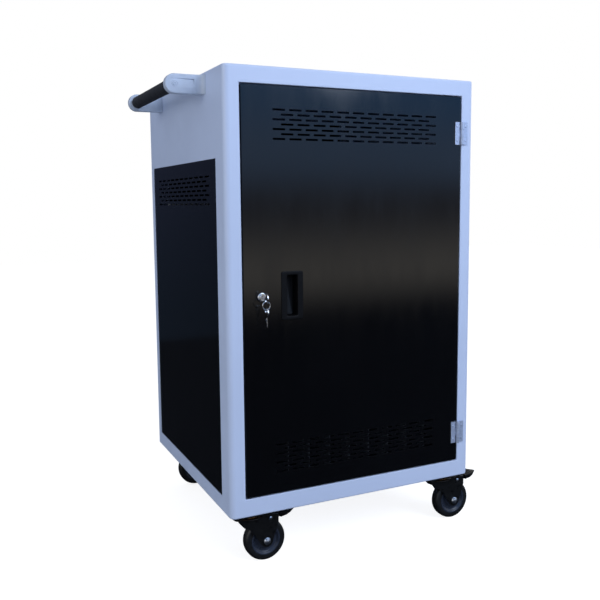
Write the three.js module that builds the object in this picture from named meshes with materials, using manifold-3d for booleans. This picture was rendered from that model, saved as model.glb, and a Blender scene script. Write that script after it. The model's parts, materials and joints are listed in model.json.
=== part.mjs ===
// Laptop charging cart: a sheet-steel cabinet on four swivel casters, with a hinged and locked door at the
// front, another at the rear, two tiers of upright laptop bays, and a push handle on its left side.
// Millimetres, +Z up. The front door faces -Y and the handle stands out towards -X.

import * as THREE from 'three';
import { mergeGeometries, mergeVertices } from 'three/addons/utils/BufferGeometryUtils.js';
import Module from 'manifold-3d';

const wasm = await Module();
wasm.setup();

// Clearances
const SEAM = 0.3;                     // between pieces that sit against each other
const RUNNING = 0.3;                  // between a pin and what turns on it
const SWING = 0.5;                    // between a moving piece and what it passes

// Cabinet
const CABINET_WIDTH = 655;
const CABINET_DEPTH = 624;
const CABINET_HEIGHT = 1000;
const SHEET = 1.5;
const CORNER_RADIUS = 14;             // upright edges of the cabinet
const STILE = 36;                     // white border beside the doors
const TOP_RAIL = 38;
const BOTTOM_RAIL = 42;
const STOP_DEPTH = 17.5;              // how far the border folds back beside a door
const STOP_LIP = 12;                  // and how far it then folds in behind the door

// Side panels, let into the side walls
const PANEL_FRONT = 58;               // white strip ahead of the panel
const PANEL_REAR = 36;
const PANEL_BOTTOM = 37.5;
const PANEL_TOP = 195;
const PANEL_GAP = 1;
const PANEL_RECESS = 1;               // its face lies this far behind the wall's
const PANEL_FLANGE = 12;              // overlap behind the wall

// Ventilation slots, in staggered rows
const SLOT_LENGTH = 30;
const SLOT_HEIGHT = 4.5;
const SLOT_PITCH = 40;
const SLOT_ROW_PITCH = 10.5;
const SLOT_ROWS = 7;
const SLOTS_IN_LONG_ROW = 11;
const REAR_SLOT_LENGTH = 205;         // the rear door's longer slots, two in a row
const REAR_SLOT_PITCH = 225;
const REAR_SLOT_ROWS = 3;
const REAR_SLOT_ROW_PITCH = 21;
const DOOR_VENT_INSET = 82;           // middle of a block from the door's top or bottom edge
const PANEL_VENT_INSET = 69;          // and from a side panel's top edge
const REAR_VENT_INSET = 140;          // and from the rear door's top edge, below the front door's upper block

// Doors
const DOOR_GAP = 3;
const DOOR_THICKNESS = 16;

// Door hinges, screwed on outside
const HINGE_HEIGHT = 55;
const HINGE_LEAF = 18.5;              // each leaf's width from the pin
const HINGE_LEAF_THICKNESS = 2;
const HINGE_KNUCKLE_RADIUS = 4.5;
const HINGE_PIN_RADIUS = 2;
const HINGE_RELIEF = 0.6;             // cut round the other leaf's knuckles
const UPPER_HINGE_INSET = 87.5;
const LOWER_HINGE_INSET = 72.5;

// Cam locks
const LOCK_INSET = 42;                // lock's middle from the door's free edge
const LOCK_HEIGHT = 499;              // above the cabinet's underside
const LOCK_HEAD_RADIUS = 10.5;
const LOCK_HEAD_THICKNESS = 4;
const LOCK_HEAD_CHAMFER = 1.2;
const LOCK_BODY_RADIUS = 9.5;
const LOCK_NUT_ACROSS_FLATS = 24;
const LOCK_NUT_THICKNESS = 5;
const PLUG_RADIUS = 6;
const PLUG_TAIL_RADIUS = 4;
const CAM_LENGTH = 41;
const CAM_WIDTH = 16;
const CAM_THICKNESS = 2.5;

// Keys and their ring
const KEY_THICKNESS = 2.2;
const KEY_BLADE_WIDTH = 7.5;
const KEY_BLADE_LENGTH = 24;
const KEY_INSERTED = 12;
const KEY_BOW_RADIUS = 11;
const KEY_HOLE_RADIUS = 4;
const KEY_STRIP = 3;                  // metal left between the hole and the bow's edge
const RING_RADIUS = 9;                // to the middle of the wire
const RING_WIRE_RADIUS = 0.8;

// Recessed door pull
const PULL_WIDTH = 54;
const PULL_HEIGHT = 110;
const PULL_BEZEL = 1.5;               // how far the bezel stands proud
const PULL_CORNER = 5;
const PULL_INSET = 116.5;             // pull's middle from the door's free edge
const PULL_CAVITY_WIDTH = 30;
const PULL_CAVITY_HEIGHT = 93;
const PULL_DEPTH = 20;
const PULL_WALL = 2;
const PULL_SCOOP = 12;                // width of the sloping finger side

// Push handle
const HANDLE_SPAN = 350;              // between the middles of the two arms
const HANDLE_REACH = 89;
const HANDLE_DROP = 28;               // middle of the grip below the top of the cabinet
const ARM_HEIGHT = 44;
const ARM_THICKNESS = 18;
const GRIP_RADIUS = 15;
const HANDLE_TUBE_RADIUS = 11;
const HANDLE_TUBE_WALL = 2;
const HANDLE_TUBE_SEAT = 10;          // how far the tube enters each arm
const ARM_RECESS_LENGTH = 36;
const ARM_RECESS_HEIGHT = 20;
const ARM_RECESS_DEPTH = 3;
const ARM_RECESS_FROM_WALL = 24;
const ARM_SCREW_RADIUS = 4.5;
const ARM_SCREW_DEPTH = 1;

// Laptop bays
const BAYS = 10;
const BAY_PITCH = 55;
const DIVIDER_HEIGHT = 230;
const DIVIDER_THICKNESS = 2;
const RACK_DEPTH = 400;
const RACK_SETBACK = 42;              // behind the front of the cabinet
const RACK_FOOT = 12;                 // folded edge under the upper rack
const DIVIDER_NOSE = 60;              // slope of a divider's upper front corner
const TOP_COMPARTMENT = 208;          // between the top shelf and the top of the cabinet
const SHELF_LIP = 14;
const SHELF_CLEARANCE = 14;           // between a shelf's edge and the stops beside the doors
const CABLE_WALL_GAP = 10;            // behind the racks
const CABLE_WALL_FLANGE = 18;
const CABLE_WALL_OPENING = 80;        // left open above a cable wall for the leads

// Power gear
const STRIP_LENGTH = 470;
const STRIP_HEIGHT = 50;
const STRIP_DEPTH = 42;
const STRIP_CHAMFER = 6;
const STRIP_SOCKETS = 6;
const STRIP_SOCKET_PITCH = 72;
const STRIP_SOCKET_SIZE = 32;
const STRIP_SOCKET_DEPTH = 3;
const STRIP_RISE = 120;               // above the foot of its cable wall
const MODULE_WIDTH = 260;
const MODULE_DEPTH = 130;
const MODULE_HEIGHT = 72;
const MODULE_FOOT = 16;
const MODULE_FOOT_THICKNESS = 2;
const INLET_WIDTH = 62;
const INLET_HEIGHT = 30;
const INLET_FLANGE = 2;
const INLET_BODY_WIDTH = 54;
const INLET_BODY_HEIGHT = 24;
const INLET_BODY_DEPTH = 30;
const INLET_SOCKET_WIDTH = 24.5;
const INLET_SOCKET_HEIGHT = 16.5;
const INLET_SOCKET_DEPTH = 16;
const INLET_SOCKET_OFFSET = 11;
const INLET_PIN_LENGTH = 12;
const INLET_PIN_PITCH = 7;
const INLET_PIN_WIDTH = 2;
const INLET_PIN_HEIGHT = 4;
const INLET_SIDE = 180;               // right of the cabinet's middle
const ROCKER_WIDTH = 13;
const ROCKER_HEIGHT = 19;
const ROCKER_OFFSET = 15;
const ROCKER_PROUD = 2.5;
const ROCKER_TILT = 8;                // degrees either way
const ROCKER_DEPTH = 7;

// Casters
const CASTER_HEIGHT = 128;
const CASTER_INSET_X = 60;
const CASTER_INSET_Y = 46;
const CASTER_TRAIL = 37;
const WHEEL_RADIUS = 50;
const WHEEL_WIDTH = 30;
const TREAD_WIDTH = 9;                // the flat that runs on the floor
const TYRE_SHOULDER = 8;
const TYRE_THICKNESS = 15;
const TYRE_SET_IN = 1;                // its walls behind the ends of the hub
const HUB_DISH = 6;
const HUB_BOSS_RADIUS = 13;
const AXLE_RADIUS = 5;
const AXLE_HEAD_RADIUS = 9;
const AXLE_HEAD_THICKNESS = 6;
const PLATE_LENGTH = 104;
const PLATE_WIDTH = 84;
const PLATE_THICKNESS = 4;
const PLATE_CORNER = 8;
const RACEWAY_RADIUS = 30;
const RACEWAY_FLOOR_RADIUS = 24;
const RACEWAY_DEPTH = 10;
const KING_PIN_RADIUS = 6;
const KING_PIN_HEAD_RADIUS = 9;       // the riveted end under the crown
const KING_PIN_HEAD = 3;
const FORK_SHEET = 3;
const FORK_SIDE_GAP = 3;              // between the wheel and each leg
const FORK_NOSE = 38;                 // reach of the crown ahead of the swivel
const FORK_TAIL = 67;                 // and behind it
const FORK_CROWN_DEPTH = 22;
const FORK_WAIST_X = 4;               // where a leg leaves the crown, ahead of the swivel
const FORK_WAIST_DEPTH = 29;
const FORK_FOOT_RADIUS = 15;
const FORK_FOOT_FROM = 216;           // degrees round the axle, seen from the front
const FORK_FOOT_TO = 351;
const PEDAL_PIVOT_X = 47;
const PEDAL_PIVOT_DEPTH = 23.5;       // below the cabinet's underside
const PEDAL_PIN_RADIUS = 2.4;
const PEDAL_BOSS_RADIUS = 3.6;
const PEDAL_LENGTH = 71;              // from its pivot to its tip
const PEDAL_NECK = 25;                // from its pivot to where it widens behind the fork
const PEDAL_WIDTH = 46;
const PEDAL_TIP_WIDTH = 14;
const PEDAL_TIP_TAPER = 15;           // length over which it narrows to its tip
const PEDAL_THICKNESS = 12;
const PEDAL_TIP_THICKNESS = 7;
const PEDAL_SHOE_X = 14;
const PEDAL_SHOE_DROP = 6.2;
const PEDAL_LIFT = 8;                 // degrees that it rises while the wheel is free

// Facets: round a whole circle, and round one corner
const FINE = 16;                      // wheels
const COARSE = 12;                    // raceways, tubes and locks
const PIN = 8;                        // pins, knuckles and keys
const NUT_SIDES = 6;
const CORNER_FACETS = 4;
const WELD = 1e-4;                    // vertices nearer than this are one

// Finishes: colour, roughness and metalness of each kind of surface
const FINISHES = {
  white: [0xd7e0f2, 0.35, 0.0],
  black: [0x0c0e12, 0.15, 0.0],
  steel: [0xb9c0cc, 0.35, 0.9],
  chrome: [0xd5d9e2, 0.12, 1.0],
  zinc: [0xc98a3a, 0.4, 0.9],
  plastic: [0x15161a, 0.45, 0.0],
  foam: [0x0b0d12, 0.85, 0.0],
  pale: [0xc3cfe2, 0.45, 0.0],
  grey: [0x4a5260, 0.5, 0.2],
  rubber: [0x0d0e12, 0.55, 0.0],
};

// Solids and meshes

function toSolid(geometry) {
  const bare = geometry.clone();
  bare.deleteAttribute('normal');
  bare.deleteAttribute('uv');
  const merged = mergeVertices(bare, WELD);
  const vertProperties = new Float32Array(merged.attributes.position.array);
  const triVerts = new Uint32Array(merged.index.array);
  return new wasm.Manifold(new wasm.Mesh({ numProp: 3, vertProperties, triVerts }));
}

function toGeometry(solid) {
  const { vertProperties, triVerts } = solid.getMesh();
  const geometry = new THREE.BufferGeometry();
  geometry.setAttribute('position', new THREE.BufferAttribute(vertProperties, 3));
  geometry.setIndex(new THREE.BufferAttribute(triVerts, 1));
  geometry.computeVertexNormals();
  return geometry;
}

function cut(body, ...tools) {
  return toGeometry(tools.reduce((rest, tool) => rest.subtract(toSolid(tool)), toSolid(body)));
}

function fuse(...bodies) {
  return toGeometry(bodies.map(toSolid).reduce((whole, body) => whole.add(body)));
}

function common(body, other) {
  return toGeometry(toSolid(body).intersect(toSolid(other)));
}

// The same piece for the other side of the cabinet.
function mirrored(geometry) {
  const copy = geometry.clone().scale(-1, 1, 1);
  copy.index.array.reverse();
  return copy;
}

function mesh(name, finish, geometry) {
  const [color, roughness, metalness] = FINISHES[finish];
  const piece = new THREE.Mesh(geometry, new THREE.MeshStandardMaterial({ color, roughness, metalness }));
  piece.name = name;
  return piece;
}

// Basic forms

function block(x0, x1, y0, y1, z0, z1) {
  const geometry = new THREE.BoxGeometry(x1 - x0, y1 - y0, z1 - z0);
  return geometry.translate((x0 + x1) / 2, (y0 + y1) / 2, (z0 + z1) / 2);
}

function outline(points) {
  return new THREE.Shape(points.map(([x, y]) => new THREE.Vector2(x, y)));
}

function roundedRectangle(width, height, radius) {
  const x = width / 2 - radius;
  const y = height / 2 - radius;
  const shape = new THREE.Shape();
  shape.absarc(x, y, radius, 0, Math.PI / 2);
  shape.absarc(-x, y, radius, Math.PI / 2, Math.PI);
  shape.absarc(-x, -y, radius, Math.PI, 1.5 * Math.PI);
  shape.absarc(x, -y, radius, 1.5 * Math.PI, 2 * Math.PI);
  shape.closePath();
  return shape;
}

// An outline drawn in plan, raised from z0 to z1, with so many facets along each of its arcs.
function raised(shape, z0, z1, facets = CORNER_FACETS) {
  const options = { depth: z1 - z0, bevelEnabled: false, curveSegments: facets / 2 };
  return new THREE.ExtrudeGeometry(shape, options).translate(0, 0, z0);
}

// An outline drawn as seen from the front (x to the right, y up), carried back from y0 to y1.
function carriedBack(shape, y0, y1, facets = CORNER_FACETS) {
  return raised(shape, -y1, -y0, facets).rotateX(Math.PI / 2);
}

// An outline drawn as seen from the right (x towards the back, y up), carried across from x0 to x1.
function carriedAcross(shape, x0, x1, facets = CORNER_FACETS) {
  return raised(shape, x0, x1, facets).rotateX(Math.PI / 2).rotateZ(Math.PI / 2);
}

// A turned piece: pairs of radius and distance along +Y, from its front end to its back end.
function turned(profile, facets) {
  const points = profile.map(([radius, along]) => new THREE.Vector2(radius, along));
  return new THREE.LatheGeometry(points, facets);
}

// The same about +Z.
function turnedUpright(profile, facets) {
  return turned(profile, facets).rotateX(Math.PI / 2);
}

// A plain rod along Y.
function rod(radius, y0, y1, facets) {
  return turned([[0, y0], [radius, y0], [radius, y1], [0, y1]], facets);
}

// A strip of folded sheet: the outer face follows the points, and the thickness lies on their left.
function foldedStrip(points, thickness) {
  const corners = points.map(([x, y]) => new THREE.Vector2(x, y));
  const leftOf = (from, to) => {
    const along = to.clone().sub(from).normalize();
    return new THREE.Vector2(-along.y, along.x);
  };
  const inner = corners.map((corner, i) => {
    const before = i > 0 ? leftOf(corners[i - 1], corner) : leftOf(corner, corners[i + 1]);
    const after = i < corners.length - 1 ? leftOf(corner, corners[i + 1]) : before;
    const mitre = before.clone().add(after);
    return corner.clone().addScaledVector(mitre, 2 * thickness / mitre.lengthSq());
  });
  return new THREE.Shape([...corners, ...inner.reverse()]);
}

// Points round a quarter bend, from one angle to another in degrees.
function bend(x, y, radius, from, to) {
  return Array.from({ length: CORNER_FACETS + 1 }, (_, i) => {
    const angle = THREE.MathUtils.degToRad(from + (to - from) * i / CORNER_FACETS);
    return [x + radius * Math.cos(angle), y + radius * Math.sin(angle)];
  });
}

// A row of slots round the middle of the row, running through along Y.
function slotRow(count, pitch, length, depth) {
  return mergeGeometries(Array.from({ length: count }, (_, i) => {
    const slot = new THREE.BoxGeometry(length, depth, SLOT_HEIGHT);
    return slot.translate((i - (count - 1) / 2) * pitch, 0, 0);
  }));
}

// Staggered rows round the middle of a block.
function ventSlots(depth) {
  return mergeGeometries(Array.from({ length: SLOT_ROWS }, (_, row) => {
    const slots = slotRow(SLOTS_IN_LONG_ROW - row % 2, SLOT_PITCH, SLOT_LENGTH, depth);
    return slots.translate(0, 0, ((SLOT_ROWS - 1) / 2 - row) * SLOT_ROW_PITCH);
  }));
}

// The rear door's plainer block.
function rearVentSlots(depth) {
  return mergeGeometries(Array.from({ length: REAR_SLOT_ROWS }, (_, row) => {
    const slots = slotRow(2, REAR_SLOT_PITCH, REAR_SLOT_LENGTH, depth);
    return slots.translate(0, 0, ((REAR_SLOT_ROWS - 1) / 2 - row) * REAR_SLOT_ROW_PITCH);
  }));
}

// Derived places. The cabinet's own frame has its underside at z = 0 and its middle at x = y = 0.
const HALF_WIDTH = CABINET_WIDTH / 2;
const HALF_DEPTH = CABINET_DEPTH / 2;
const DOOR_WIDTH = CABINET_WIDTH - 2 * (STILE + DOOR_GAP);
const DOOR_BOTTOM = BOTTOM_RAIL + DOOR_GAP;
const DOOR_TOP = CABINET_HEIGHT - TOP_RAIL - DOOR_GAP;
const DOOR_FREE_EDGE = -DOOR_WIDTH / 2;
const STOP_BACK = STOP_DEPTH + SHEET;
const CAM_FRONT = STOP_BACK + SWING;
const WALL_BOTTOM = SHEET + SEAM;
const WALL_TOP = CABINET_HEIGHT - SHEET - SEAM;
const PANEL_BACK = SHEET + SEAM + SHEET;              // inner face of a side panel, from the wall's face
const INNER_HALF = HALF_WIDTH - PANEL_BACK - SEAM;    // what stands between the two side panels
const TIER_HEIGHT = (CABINET_HEIGHT - BOTTOM_RAIL - TOP_COMPARTMENT) / 2;
const MIDDLE_SHELF = BOTTOM_RAIL + TIER_HEIGHT;
const TOP_SHELF = MIDDLE_SHELF + TIER_HEIGHT;
const UPPER_RACK = MIDDLE_SHELF + SEAM + RACK_FOOT;
const RACK_FRONT = -HALF_DEPTH + RACK_SETBACK;
const RACK_BACK = RACK_FRONT + RACK_DEPTH;
const CABLE_WALL = RACK_BACK + CABLE_WALL_GAP;
const GRIP_FROM_WALL = HANDLE_REACH - ARM_HEIGHT / 2;

// Cabinet shell

// One side: the wall, its rounded upright edges, the borders beside both doors and the stops behind them.
function sideWall() {
  const edge = HALF_WIDTH - STILE;
  const lip = edge - STOP_LIP;
  const frontStop = HALF_DEPTH - STOP_DEPTH;
  const half = [
    [-lip, frontStop],
    [-edge, frontStop],
    [-edge, HALF_DEPTH],
    ...bend(-HALF_WIDTH + CORNER_RADIUS, HALF_DEPTH - CORNER_RADIUS, CORNER_RADIUS, 90, 180),
  ];
  const otherHalf = half.map(([x, y]) => [x, -y]).reverse();
  const profile = foldedStrip([...half, ...otherHalf], SHEET);
  const opening = block(
    -HALF_WIDTH - SHEET,
    -HALF_WIDTH + 2 * SHEET,
    -HALF_DEPTH + PANEL_FRONT,
    HALF_DEPTH - PANEL_REAR,
    PANEL_BOTTOM,
    CABINET_HEIGHT - PANEL_TOP,
  );
  return cut(raised(profile, WALL_BOTTOM, WALL_TOP), opening);
}

// A side panel: a tray pressed outwards into the wall's opening, with its flange behind the wall.
function sidePanel() {
  const front = -HALF_DEPTH + PANEL_FRONT;
  const rear = HALF_DEPTH - PANEL_REAR;
  const top = CABINET_HEIGHT - PANEL_TOP;
  const grown = (amount, x0, x1) => block(
    -HALF_WIDTH + x0,
    -HALF_WIDTH + x1,
    front - amount,
    rear + amount,
    PANEL_BOTTOM - amount,
    top + amount,
  );
  const tray = fuse(
    grown(PANEL_FLANGE, SHEET + SEAM, PANEL_BACK),
    grown(-PANEL_GAP, PANEL_RECESS, PANEL_BACK),
  );
  const hollow = grown(-PANEL_GAP - SHEET, PANEL_RECESS + SHEET, PANEL_BACK + SHEET);
  const slots = ventSlots(4 * PANEL_BACK).rotateZ(Math.PI / 2);
  slots.translate(-HALF_WIDTH, (front + rear) / 2, top - PANEL_VENT_INSET);
  return cut(tray, hollow, slots);
}

// A rail across a door's top or bottom: the sheet turns through the border's height and then inwards.
function railProfile(height) {
  return foldedStrip([
    [-HALF_DEPTH + STOP_DEPTH - SEAM, height],
    [-HALF_DEPTH, height],
    [-HALF_DEPTH, 0],
    [HALF_DEPTH, 0],
    [HALF_DEPTH, height],
    [HALF_DEPTH - STOP_DEPTH + SEAM, height],
  ], SHEET);
}

function basePan() {
  const railLength = HALF_WIDTH - STILE - SEAM;
  const plate = raised(roundedRectangle(CABINET_WIDTH, CABINET_DEPTH, CORNER_RADIUS), 0, SHEET);
  const rails = carriedAcross(railProfile(BOTTOM_RAIL), -railLength, railLength);
  const inletHole = block(
    INLET_SIDE - INLET_BODY_WIDTH / 2 - SEAM,
    INLET_SIDE + INLET_BODY_WIDTH / 2 + SEAM,
    HALF_DEPTH - 2 * SHEET,
    HALF_DEPTH + SHEET,
    BOTTOM_RAIL / 2 - INLET_BODY_HEIGHT / 2 - SEAM,
    BOTTOM_RAIL / 2 + INLET_BODY_HEIGHT / 2 + SEAM,
  );
  return cut(fuse(plate, rails), inletHole);
}

function topCover() {
  const railLength = HALF_WIDTH - STILE - SEAM;
  const plate = raised(roundedRectangle(CABINET_WIDTH, CABINET_DEPTH, CORNER_RADIUS), 0, SHEET);
  const rails = carriedAcross(railProfile(TOP_RAIL), -railLength, railLength);
  return fuse(plate, rails).rotateX(Math.PI).translate(0, 0, CABINET_HEIGHT);
}

// Fittings inside the cabinet

// A tray of upright dividers. Its base stands on folded edges of the given depth.
function dividerRack(footDepth) {
  const halfLength = BAYS * BAY_PITCH / 2 + DIVIDER_THICKNESS / 2;
  const tray = carriedAcross(foldedStrip([
    [RACK_BACK, -footDepth],
    [RACK_BACK, SHEET],
    [RACK_FRONT, SHEET],
    [RACK_FRONT, -footDepth],
  ], SHEET), -halfLength, halfLength);
  const nose = RACK_FRONT + 2 * SHEET;
  const tail = RACK_BACK - 2 * SHEET;
  const divider = outline([
    [nose, SHEET / 2],
    [tail, SHEET / 2],
    [tail, DIVIDER_HEIGHT],
    [nose + DIVIDER_NOSE, DIVIDER_HEIGHT],
    [nose, DIVIDER_HEIGHT - DIVIDER_NOSE],
  ]);
  const dividers = Array.from({ length: BAYS + 1 }, (_, i) => {
    const x = (i - BAYS / 2) * BAY_PITCH;
    return carriedAcross(divider, x - DIVIDER_THICKNESS / 2, x + DIVIDER_THICKNESS / 2);
  });
  return fuse(tray, ...dividers);
}

// A shelf from side panel to side panel, with its front and back edges turned down.
function shelf() {
  const back = HALF_DEPTH - STOP_BACK - SHELF_CLEARANCE;
  const front = -back;
  return carriedAcross(foldedStrip([
    [back, -SHELF_LIP],
    [back, 0],
    [front, 0],
    [front, -SHELF_LIP],
  ], SHEET), -INNER_HALF, INNER_HALF);
}

// The wall behind a tier, with its ends turned back along the side panels.
function cableWall(height) {
  return raised(foldedStrip([
    [-INNER_HALF, CABLE_WALL + CABLE_WALL_FLANGE],
    [-INNER_HALF, CABLE_WALL],
    [INNER_HALF, CABLE_WALL],
    [INNER_HALF, CABLE_WALL + CABLE_WALL_FLANGE],
  ], SHEET), 0, height);
}

// A row of mains sockets in a chamfered bar, facing the rear door.
function powerStrip() {
  const front = CABLE_WALL + SHEET + SEAM;
  const back = front + STRIP_DEPTH;
  const half = STRIP_HEIGHT / 2;
  const bar = carriedAcross(outline([
    [front, -half],
    [back - STRIP_CHAMFER, -half],
    [back, -half + STRIP_CHAMFER],
    [back, half - STRIP_CHAMFER],
    [back - STRIP_CHAMFER, half],
    [front, half],
  ]), -STRIP_LENGTH / 2, STRIP_LENGTH / 2);
  const sockets = Array.from({ length: STRIP_SOCKETS }, (_, i) => {
    const socket = new THREE.BoxGeometry(STRIP_SOCKET_SIZE, 2 * STRIP_SOCKET_DEPTH, STRIP_SOCKET_SIZE);
    return socket.translate((i - (STRIP_SOCKETS - 1) / 2) * STRIP_SOCKET_PITCH, back, 0);
  });
  return cut(bar, mergeGeometries(sockets));
}

// The charging controller's case, on two feet turned out along its ends.
function powerModule() {
  const half = MODULE_WIDTH / 2;
  const back = HALF_DEPTH - STOP_BACK - RACK_SETBACK;
  return carriedBack(outline([
    [-half - MODULE_FOOT, 0],
    [half + MODULE_FOOT, 0],
    [half + MODULE_FOOT, MODULE_FOOT_THICKNESS],
    [half, MODULE_FOOT_THICKNESS],
    [half, MODULE_HEIGHT],
    [-half, MODULE_HEIGHT],
    [-half, MODULE_FOOT_THICKNESS],
    [-half - MODULE_FOOT, MODULE_FOOT_THICKNESS],
  ]), back - MODULE_DEPTH, back);
}

// The mains inlet with its own switch opening, seen from behind on the rear bottom rail.
function powerInlet() {
  const flange = carriedBack(roundedRectangle(INLET_WIDTH, INLET_HEIGHT, INLET_FLANGE),
    SEAM, SEAM + INLET_FLANGE);
  const body = block(
    -INLET_BODY_WIDTH / 2,
    INLET_BODY_WIDTH / 2,
    -INLET_BODY_DEPTH,
    SEAM + INLET_FLANGE / 2,
    -INLET_BODY_HEIGHT / 2,
    INLET_BODY_HEIGHT / 2,
  );
  const face = SEAM + INLET_FLANGE;
  const socketFloor = face - INLET_SOCKET_DEPTH;
  const halfSocket = INLET_SOCKET_WIDTH / 2;
  const socketTop = INLET_SOCKET_HEIGHT / 2;
  const cornerCut = INLET_SOCKET_HEIGHT / 3;
  const socket = carriedBack(outline([
    [-halfSocket, -socketTop],
    [halfSocket, -socketTop],
    [halfSocket, socketTop - cornerCut],
    [halfSocket - cornerCut, socketTop],
    [-halfSocket + cornerCut, socketTop],
    [-halfSocket, socketTop - cornerCut],
  ]), socketFloor, face + SHEET).translate(-INLET_SOCKET_OFFSET, 0, 0);
  const window = block(
    ROCKER_OFFSET - ROCKER_WIDTH / 2 - RUNNING,
    ROCKER_OFFSET + ROCKER_WIDTH / 2 + RUNNING,
    face - ROCKER_DEPTH - 2 * ROCKER_PROUD,
    face + SHEET,
    -ROCKER_HEIGHT / 2 - 2 * RUNNING,
    ROCKER_HEIGHT / 2 + 2 * RUNNING,
  );
  const pins = [-1, 0, 1].map((side) => block(
    -INLET_SOCKET_OFFSET + side * INLET_PIN_PITCH - INLET_PIN_WIDTH / 2,
    -INLET_SOCKET_OFFSET + side * INLET_PIN_PITCH + INLET_PIN_WIDTH / 2,
    socketFloor - INLET_PIN_WIDTH / 2,
    socketFloor + INLET_PIN_LENGTH,
    -INLET_PIN_HEIGHT / 2,
    INLET_PIN_HEIGHT / 2,
  ));
  return fuse(cut(fuse(flange, body), socket, window), ...pins);
}

// The switch's rocker: a shallow V whose two halves stand proud in turn, about an axis along X.
function powerRocker() {
  const half = ROCKER_HEIGHT / 2;
  const rise = half * Math.tan(THREE.MathUtils.degToRad(ROCKER_TILT));
  const rocker = carriedAcross(outline([
    [-ROCKER_DEPTH / 2, -half / 2],
    [ROCKER_PROUD - rise, -half],
    [ROCKER_PROUD, 0],
    [ROCKER_PROUD - rise, half],
    [-ROCKER_DEPTH / 2, half / 2],
  ]), -ROCKER_WIDTH / 2, ROCKER_WIDTH / 2);
  return rocker.rotateX(THREE.MathUtils.degToRad(ROCKER_TILT));
}

// Doors

// A door as a shallow pan, its edges folded back all round, with its lock hole and its upper slots.
function doorPan(slots) {
  const height = DOOR_TOP - DOOR_BOTTOM;
  const middle = (DOOR_TOP + DOOR_BOTTOM) / 2;
  const face = roundedRectangle(DOOR_WIDTH, height, 2 * SHEET);
  const inside = roundedRectangle(DOOR_WIDTH - 2 * SHEET, height - 2 * SHEET, SHEET);
  const pan = cut(
    carriedBack(face, 0, DOOR_THICKNESS, CORNER_FACETS / 2),
    carriedBack(inside, SHEET, DOOR_THICKNESS + SHEET, CORNER_FACETS / 2),
  ).translate(0, 0, middle);
  const lockHole = rod(LOCK_BODY_RADIUS + SEAM, -SHEET, 2 * SHEET, COARSE);
  lockHole.translate(DOOR_FREE_EDGE + LOCK_INSET, 0, LOCK_HEIGHT);
  return cut(pan, lockHole, slots);
}

function frontDoor() {
  const upperSlots = ventSlots(4 * SHEET).translate(0, 0, DOOR_TOP - DOOR_VENT_INSET);
  const lowerSlots = ventSlots(4 * SHEET).translate(0, 0, DOOR_BOTTOM + DOOR_VENT_INSET);
  const pullHole = block(
    DOOR_FREE_EDGE + PULL_INSET - PULL_WIDTH / 2 + PULL_CORNER - SEAM,
    DOOR_FREE_EDGE + PULL_INSET + PULL_WIDTH / 2 - PULL_CORNER + SEAM,
    -SHEET,
    2 * SHEET,
    LOCK_HEIGHT - PULL_HEIGHT / 2 + PULL_CORNER - SEAM,
    LOCK_HEIGHT + PULL_HEIGHT / 2 - PULL_CORNER + SEAM,
  );
  return cut(doorPan(upperSlots), lowerSlots, pullHole);
}

function rearDoor() {
  return doorPan(rearVentSlots(4 * SHEET).translate(0, 0, DOOR_TOP - REAR_VENT_INSET));
}

// The moulded pull: a bezel on the door's face and a cup behind it, scooped on the hinge side.
function pullCup() {
  const bezel = carriedBack(roundedRectangle(PULL_WIDTH, PULL_HEIGHT, PULL_CORNER),
    -SEAM - PULL_BEZEL, -SEAM);
  const halfWidth = PULL_WIDTH / 2 - PULL_CORNER;
  const halfHeight = PULL_HEIGHT / 2 - PULL_CORNER;
  const cup = block(-halfWidth, halfWidth, -SEAM - PULL_BEZEL / 2, PULL_DEPTH, -halfHeight, halfHeight);
  const left = -PULL_CAVITY_WIDTH / 2;
  const right = PULL_CAVITY_WIDTH / 2;
  const mouth = -SEAM - 2 * PULL_BEZEL;
  const floor = PULL_DEPTH - PULL_WALL;
  const cavity = raised(outline([
    [left, mouth],
    [right, mouth],
    [right, -SEAM],
    [right - PULL_SCOOP, floor],
    [left, floor],
  ]), -PULL_CAVITY_HEIGHT / 2, PULL_CAVITY_HEIGHT / 2);
  return cut(fuse(bezel, cup), cavity);
}

// Hinges: the pin stands at the origin, and a leaf runs out from it along the face behind.

function hingeLeaf(side) {
  const back = HINGE_KNUCKLE_RADIUS;
  const x0 = Math.min(0, side * HINGE_LEAF);
  const x1 = Math.max(0, side * HINGE_LEAF);
  return block(x0, x1, back - HINGE_LEAF_THICKNESS, back, -HINGE_HEIGHT / 2, HINGE_HEIGHT / 2);
}

function knuckle(z0, z1, radius) {
  return rod(radius, z0, z1, PIN).rotateX(Math.PI / 2);
}

// The leaf on the cabinet carries the pin and the two outer knuckles.
function frameLeaf(side) {
  const third = HINGE_HEIGHT / 6;
  const gap = knuckle(-third - SEAM, third + SEAM, HINGE_KNUCKLE_RADIUS + HINGE_RELIEF);
  return fuse(
    cut(hingeLeaf(side), gap),
    knuckle(third + SEAM, HINGE_HEIGHT / 2, HINGE_KNUCKLE_RADIUS),
    knuckle(-HINGE_HEIGHT / 2, -third - SEAM, HINGE_KNUCKLE_RADIUS),
    knuckle(-HINGE_HEIGHT / 3, HINGE_HEIGHT / 3, HINGE_PIN_RADIUS),
  );
}

// The leaf on the door carries the middle knuckle, bored for the pin.
function doorLeaf(side) {
  const third = HINGE_HEIGHT / 6;
  const clear = HINGE_KNUCKLE_RADIUS + HINGE_RELIEF;
  return cut(
    fuse(hingeLeaf(side), knuckle(-third, third, HINGE_KNUCKLE_RADIUS)),
    knuckle(third, HINGE_HEIGHT, clear),
    knuckle(-HINGE_HEIGHT, -third, clear),
    knuckle(-HINGE_HEIGHT, HINGE_HEIGHT, HINGE_PIN_RADIUS + RUNNING),
  );
}

// Locks: the axis runs along Y, with the door's face at y = 0 and the key side towards -Y.

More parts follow.
